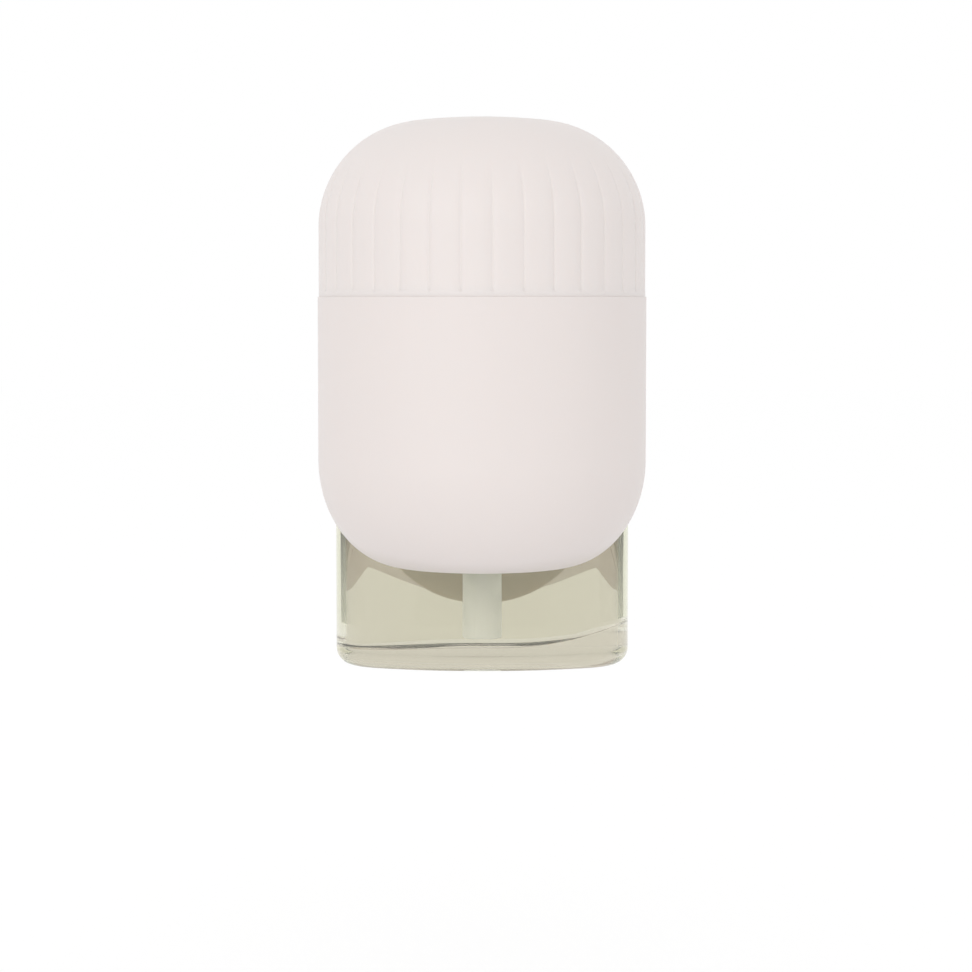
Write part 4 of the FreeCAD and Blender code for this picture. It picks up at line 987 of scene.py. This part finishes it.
@dataclass
class Refill:
    """The glass refill with its oil and wick."""

    palette: Palette
    centre_y: float = -28.3  # Where its axis stands.
    half_width: float = 26.65
    face_radius: float = 50.0
    end_radius: float = 10.57
    bottom: float = -25.3  # Height of the lowest point of the glass.
    shoulder: float = 9.0
    heel_radius: float = 3.0
    shoulder_radius: float = 3.5
    wall: float = 1.9  # Thickness of the glass.
    base: float = 4.2  # Thickness of the base in its middle.
    base_rise: float = 3.4  # How much thicker the base gets towards the right.
    rise_span: Span = (4.0, 24.0)  # Places across between which it does.
    base_sag: float = 0.9  # How much thinner it gets towards the left.
    sag_span: Span = (2.0, 24.0)  # Places to the left between which it does.
    heel_sway: float = 0.8  # How far the heel's inner line sways up and down.
    sway_start: Span = (13.0, 18.0)  # Places to either side between which it begins to.
    sway_end: Span = (20.0, 23.0)  # Places between which it stops.
    inner_radius: float = 2.0  # Rounding inside at the base.
    push_up: float = 1.0  # How far the middle of the base is drawn up.
    push_up_radius: float = 60.0
    neck_radius: float = 8.5  # Outside of the neck.
    neck_bore: float = 6.5  # Inside of the neck.
    neck_top: float = 16.5  # Height of the neck's mouth.
    neck_fillet: float = 0.8  # Rounding between the shoulder and the neck.
    lip: float = 0.5  # Rounding of the neck's mouth.
    oil_level: float = 2.5
    oil_gap: float = 0.02  # Space between the oil's own surface and the wetted glass.
    wick_radius: float = 3.2
    wick_foot: float = -20.1  # Heights of the wick's ends.
    wick_top: float = 30.5
    wick_rounding: float = 0.35
    around: int = 144  # Points round the bottle.

    # Widths of the rings in the base's middle, over its full width, and heights of rings up the sides.
    BASE_RINGS = (0.08, 0.2, 0.35, 0.5, 0.65, 0.78, 0.88, 0.95, 1.0)
    OIL_RINGS = (0.1, 0.3, 0.5, 0.7, 0.85, 0.95, 1.0)
    OUTER_LEVELS = (-18.0, -12.0, -6.0, 0.0)
    WET_LEVELS = (-12.0, -7.0, -2.0)

    def __post_init__(self) -> None:
        """Work out where the ends of the plan are, and directions that space its points about evenly."""
        self.end_x = self.half_width - self.end_radius
        self.depth = math.sqrt((self.face_radius - self.end_radius) ** 2 - self.end_x**2)
        self.turn = math.atan2(self.depth, self.end_x)
        end, face = 2 * self.turn, math.pi - 2 * self.turn
        per_end = self.around // 3
        per_face = (self.around - 2 * per_end) // 2
        spans = (
            (-self.turn, end, per_end),
            (self.turn, face, per_face),
            (math.pi - self.turn, end, per_end),
            (math.pi + self.turn, face, per_face),
        )
        self.angles = [start + span * step / count for start, span, count in spans for step in range(count)]

    def build(self) -> None:
        """Make the bottle, the oil and the wick."""
        for piece, node in (
            (self._bottle(), "bottle_glass"),
            (self._oil(), "scented_oil"),
            (self._wick(), "wick"),
        ):
            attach(piece, Body.REFILL.value)
            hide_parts(node)
            LOG.info("%s: %d faces", piece.name, len(piece.data.polygons))

    def _plan(self, angle: float, offset: float) -> tuple[float, float]:
        """A point of the bottle's plan, moved out by an offset.

        Args:
            angle: Direction of the surface there, from +X.
            offset: How far out it is moved.

        Returns:
            Its place across and in depth, from the bottle's axis.
        """
        across, deep = math.cos(angle), math.sin(angle)
        if math.atan2(abs(deep), abs(across)) < self.turn:
            reach = self.end_radius + offset
            return math.copysign(self.end_x, across) + reach * across, reach * deep
        reach = self.face_radius + offset
        return reach * across, reach * deep - math.copysign(self.depth, deep)

    def _ring(self, offset: float, z: float, share: float = 1.0) -> list[Place]:
        """Places of a ring of the bottle's plan, moved out by an offset and then drawn in to a share."""
        plan = [self._plan(angle, offset) for angle in self.angles]
        return [(across * share, self.centre_y + deep * share, z) for across, deep in plan]

    def _floor_ring(self, offset: float, z: float, share: float = 1.0) -> list[Place]:
        """Places of a ring whose height follows the uneven inside floor, as _ring gives them."""
        return [(x, y, z + self._unevenness(x)) for x, y, z in self._ring(offset, z, share)]

    def _circle(self, radius: float, z: float) -> list[Place]:
        """Places of a round ring about the bottle's axis, in step with the plan."""
        ways = [math.atan2(*reversed(self._plan(angle, 0.0))) for angle in self.angles]
        return [(radius * math.cos(way), self.centre_y + radius * math.sin(way), z) for way in ways]

    def _unevenness(self, x: float) -> float:
        """How much the inside floor stands above its middle: the glass flows unevenly in its mould.

        Args:
            x: Place across.

        Returns:
            The height difference.
        """
        start, end = self.rise_span
        right = min(1.0, max(0.0, (x - start) / (end - start)))
        return self.base_rise * right * right - self.base_sag * smoothstep(*self.sag_span, -x)

    @staticmethod
    def _heel(low: float, radius: float, offset: float) -> list[tuple[float, float]]:
        """Offsets and heights, upwards, of the rounding between a floor and a side."""
        return [(offset - radius * inset, low + radius * rise) for rise, inset in quarter(10, 1)]

    def _underside(self, x: float, y: float) -> float:
        """Height of the base's underside: a shallow hollow inside its rim.

        Args:
            x: Place across, from the axis.
            y: Place in depth, from the axis.

        Returns:
            The height.
        """
        hollow = max(0.0, self.push_up - (x * x + y * y) / (2 * self.push_up_radius))
        side = abs(x)
        sway = smoothstep(*self.sway_start, side) * (1 - smoothstep(*self.sway_end, side))
        return self.bottom + hollow + self.heel_sway * sway

    def _outside(self) -> Iterable[list[Place]]:
        """The glass from the middle of its underside up to the foot of the neck.

        Yields:
            Its rings.
        """
        for share in self.BASE_RINGS:
            flat = self._ring(-self.heel_radius, 0.0, share)
            yield [(x, y, self._underside(x, y - self.centre_y)) for x, y, _ in flat]
        for offset, z in self._heel(self.bottom, self.heel_radius, 0.0):
            yield self._ring(offset, z)
        for z in (*self.OUTER_LEVELS, self.shoulder - self.shoulder_radius):
            yield self._ring(0.0, z)
        for inset, drop in quarter(8, 1):
            yield self._ring(-self.shoulder_radius * inset, self.shoulder - self.shoulder_radius * drop)
        for rise, out in quarter(4):
            radius = self.neck_radius + self.neck_fillet * out
            yield self._circle(radius, self.shoulder + self.neck_fillet * rise)

    def _neck(self) -> Iterable[list[Place]]:
        """The glass up the neck, over its mouth and down to the oil.

        Yields:
            Its rings.
        """
        outside, bore, lip, mouth = self.neck_radius, self.neck_bore, self.lip, self.neck_top
        ceiling = self.shoulder - self.wall
        slight = 0.3 * lip
        yield from (
            self._circle(radius, z)
            for radius, z in (
                (outside, mouth - lip),
                (outside - slight, mouth - slight),
                (outside - lip, mouth),
                (bore + lip, mouth),
                (bore + slight, mouth - slight),
                (bore, mouth - lip),
                (bore, ceiling + lip),
                (bore + slight, ceiling + slight),
                (bore + lip, ceiling),
            )
        )
        inner = self.shoulder_radius - self.wall
        for inset, drop in reversed(quarter(6)):
            yield self._ring(-self.wall - inner * inset, ceiling - inner * drop)
        yield self._ring(-self.wall, self.oil_level)

    def _wetted(self) -> Iterable[list[Place]]:
        """The glass under the oil, down to the middle of the inside floor.

        Yields:
            Its rings.
        """
        for z in reversed(self.WET_LEVELS):
            yield self._ring(-self.wall, z)
        floor = self.bottom + self.base
        for offset, z in reversed(self._heel(floor, self.inner_radius, -self.wall)):
            yield self._floor_ring(offset, z)
        for share in reversed(self.BASE_RINGS):
            yield self._floor_ring(-self.wall - self.inner_radius, floor, share)

    def _bottle(self) -> Piece:
        """Make the closed glass, wetted inside as high as the oil stands.

        Returns:
            The glass piece.
        """
        loft = Loft(len(self.angles))
        loft.grow(self._outside())
        loft.grow(self._neck())
        dry = set(loft.shape.faces)
        loft.grow(self._wetted())
        shape = loft.close()
        for face in shape.faces:
            if face not in dry:
                centre = face.calc_center_median() / MM
                here = self.bottom + self.base + self._unevenness(centre.x)
                face.material_index = 2 if centre.z < here + self.inner_radius / 2 else 1
        finishes = [self.palette[name] for name in ("refill_glass", "glass_to_oil", "glass_under_oil")]
        return finish_mesh(shape, "bottle_glass_piece", finishes)

    def _oil_body(self) -> Iterable[list[Place]]:
        """The oil from the middle of its floor, up, in to the wick and down beside it.

        Yields:
            Its rings.
        """
        floor = self.bottom + self.base + self.oil_gap
        gap = self.wall + self.oil_gap
        for share in self.OIL_RINGS:
            yield self._floor_ring(-gap - self.inner_radius, floor, share)
        for offset, z in self._heel(floor, self.inner_radius, -gap):
            yield self._floor_ring(offset, z)
        for z in (*self.WET_LEVELS, self.oil_level):
            yield self._ring(-gap, z)
        for inset, drop in ((0.1, 0.22), (0.35, 0.42), (0.9, 0.5)):
            yield self._ring(-gap - inset, self.oil_level - drop)
        hole = self.wick_radius + self.oil_gap
        for reach, drop in ((1.0, 0.5), (0.3, 0.35), (0.0, 0.1)):
            yield self._circle(hole + reach, self.oil_level - drop)
        for z in (-5.0, -12.0, self.wick_foot - self.oil_gap):
            yield self._circle(hole, z)

    def _oil(self) -> Piece:
        """Make the oil, a hair inside the wetted glass.

        Returns:
            The oil piece.
        """
        loft = Loft(len(self.angles))
        loft.grow(self._oil_body())
        return finish_mesh(loft.close(), "scented_oil_piece", [self.palette["scented_oil"]])

    def _wick(self) -> Piece:
        """Make the wick, a bonded fibre rod with softened ends.

        Returns:
            The wick piece.
        """
        shape = bmesh.new()
        radius = self.wick_radius * MM
        height = (self.wick_top - self.wick_foot) * MM
        bmesh.ops.create_cone(
            shape, cap_ends=True, segments=64, radius1=radius, radius2=radius, depth=height
        )
        middle = (0, self.centre_y * MM, (self.wick_top + self.wick_foot) / 2 * MM)
        bmesh.ops.translate(shape, vec=middle, verts=shape.verts)
        rims = [edge for edge in shape.edges if abs(edge.verts[0].co.z - edge.verts[1].co.z) < 1e-9]
        round_edges(shape, rims, self.wick_rounding, 4)
        return finish_mesh(shape, "wick_piece", [self.palette["wick_fibre"]])


@dataclass
class Studio:
    """The plain floor, the soft light and the camera at the photograph's viewing angle."""

    palette: Palette
    floor_z: float = -0.079
    floor_half: float = 3.0  # Half the width of the floor.
    camera_at: Place = (0.0007, -0.5, 0.04085)
    pitch: float = 4.09  # How far the camera looks down, in degrees.
    lens: float = 96.1  # Its focal length in millimetres on a 36 mm sensor.
    surround: float = 0.83  # How bright the surround is as soft light.
    aim: Place = (0.0, -0.03, 0.02)  # Where the lamps point.

    # Each lamp's place, size and power: a large key from the front left, and a weaker fill.
    LAMPS = {"key": ((-0.75, -1.6, 0.1), 2.0, 11.6), "fill": ((1.3, -1.2, 0.1), 1.6, 2.0)}

    def build(self) -> None:
        """Make all of it."""
        self._camera()
        self._world()
        self._floor()
        self._lights()

    def _camera(self) -> None:
        """Put the camera where the photograph was taken from."""
        data = bpy.data.cameras.new("photo_camera")
        data.lens = self.lens
        data.sensor_width = 36.0
        camera = place_in_scene("photo_camera", data)
        camera.location = self.camera_at
        camera.rotation_euler = (math.radians(90 - self.pitch), 0, 0)
        bpy.context.scene.camera = camera

    def _world(self) -> None:
        """A soft studio surround that the camera, gloss and glass see as white."""
        world = bpy.data.worlds.new("studio")
        bpy.context.scene.world = world
        world.use_nodes = True
        world.node_tree.nodes.clear()
        shader = Shader(world.node_tree)
        dim = shader.add("Background", {"Color": WHITE, "Strength": self.surround})
        white = shader.add("Background", {"Color": WHITE, "Strength": 1.0})
        shader.node("OutputWorld", {"Surface": shader.mix(shader.directly_seen(), dim, white)})

    def _floor(self) -> None:
        """A wide pale floor below the warmer."""
        shape = bmesh.new()
        bmesh.ops.create_grid(shape, x_segments=1, y_segments=1, size=self.floor_half)
        bmesh.ops.translate(shape, vec=(0, 0, self.floor_z), verts=shape.verts)
        floor = finish_mesh(shape, "floor", [self.palette["floor_white"]])

    def _lights(self) -> None:
        """A large soft lamp from the front left, and a weaker one from the right."""
        for name, (place, size, power) in self.LAMPS.items():
            data = bpy.data.lights.new(name, "AREA")
            data.size = size
            data.energy = power
            lamp = place_in_scene(name, data)
            lamp.location = place
            way = Vector(self.aim) - Vector(place)
            lamp.rotation_euler = way.to_track_quat("-Z", "Y").to_euler()


def main() -> None:
    """Build the warmer's looks in order."""
    logging.basicConfig(level=logging.INFO, format="%(message)s")
    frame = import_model()
    bpy.context.scene.view_settings.view_transform = "Standard"
    palette = Palette()
    palette.dress(frame["nodes"])
    Studio(palette).build()
    FlutedCap(palette).build()
    MouldedPieces(palette, frame["nodes"]).build()
    Refill(palette).build()


if __name__ == "__main__":
    main()
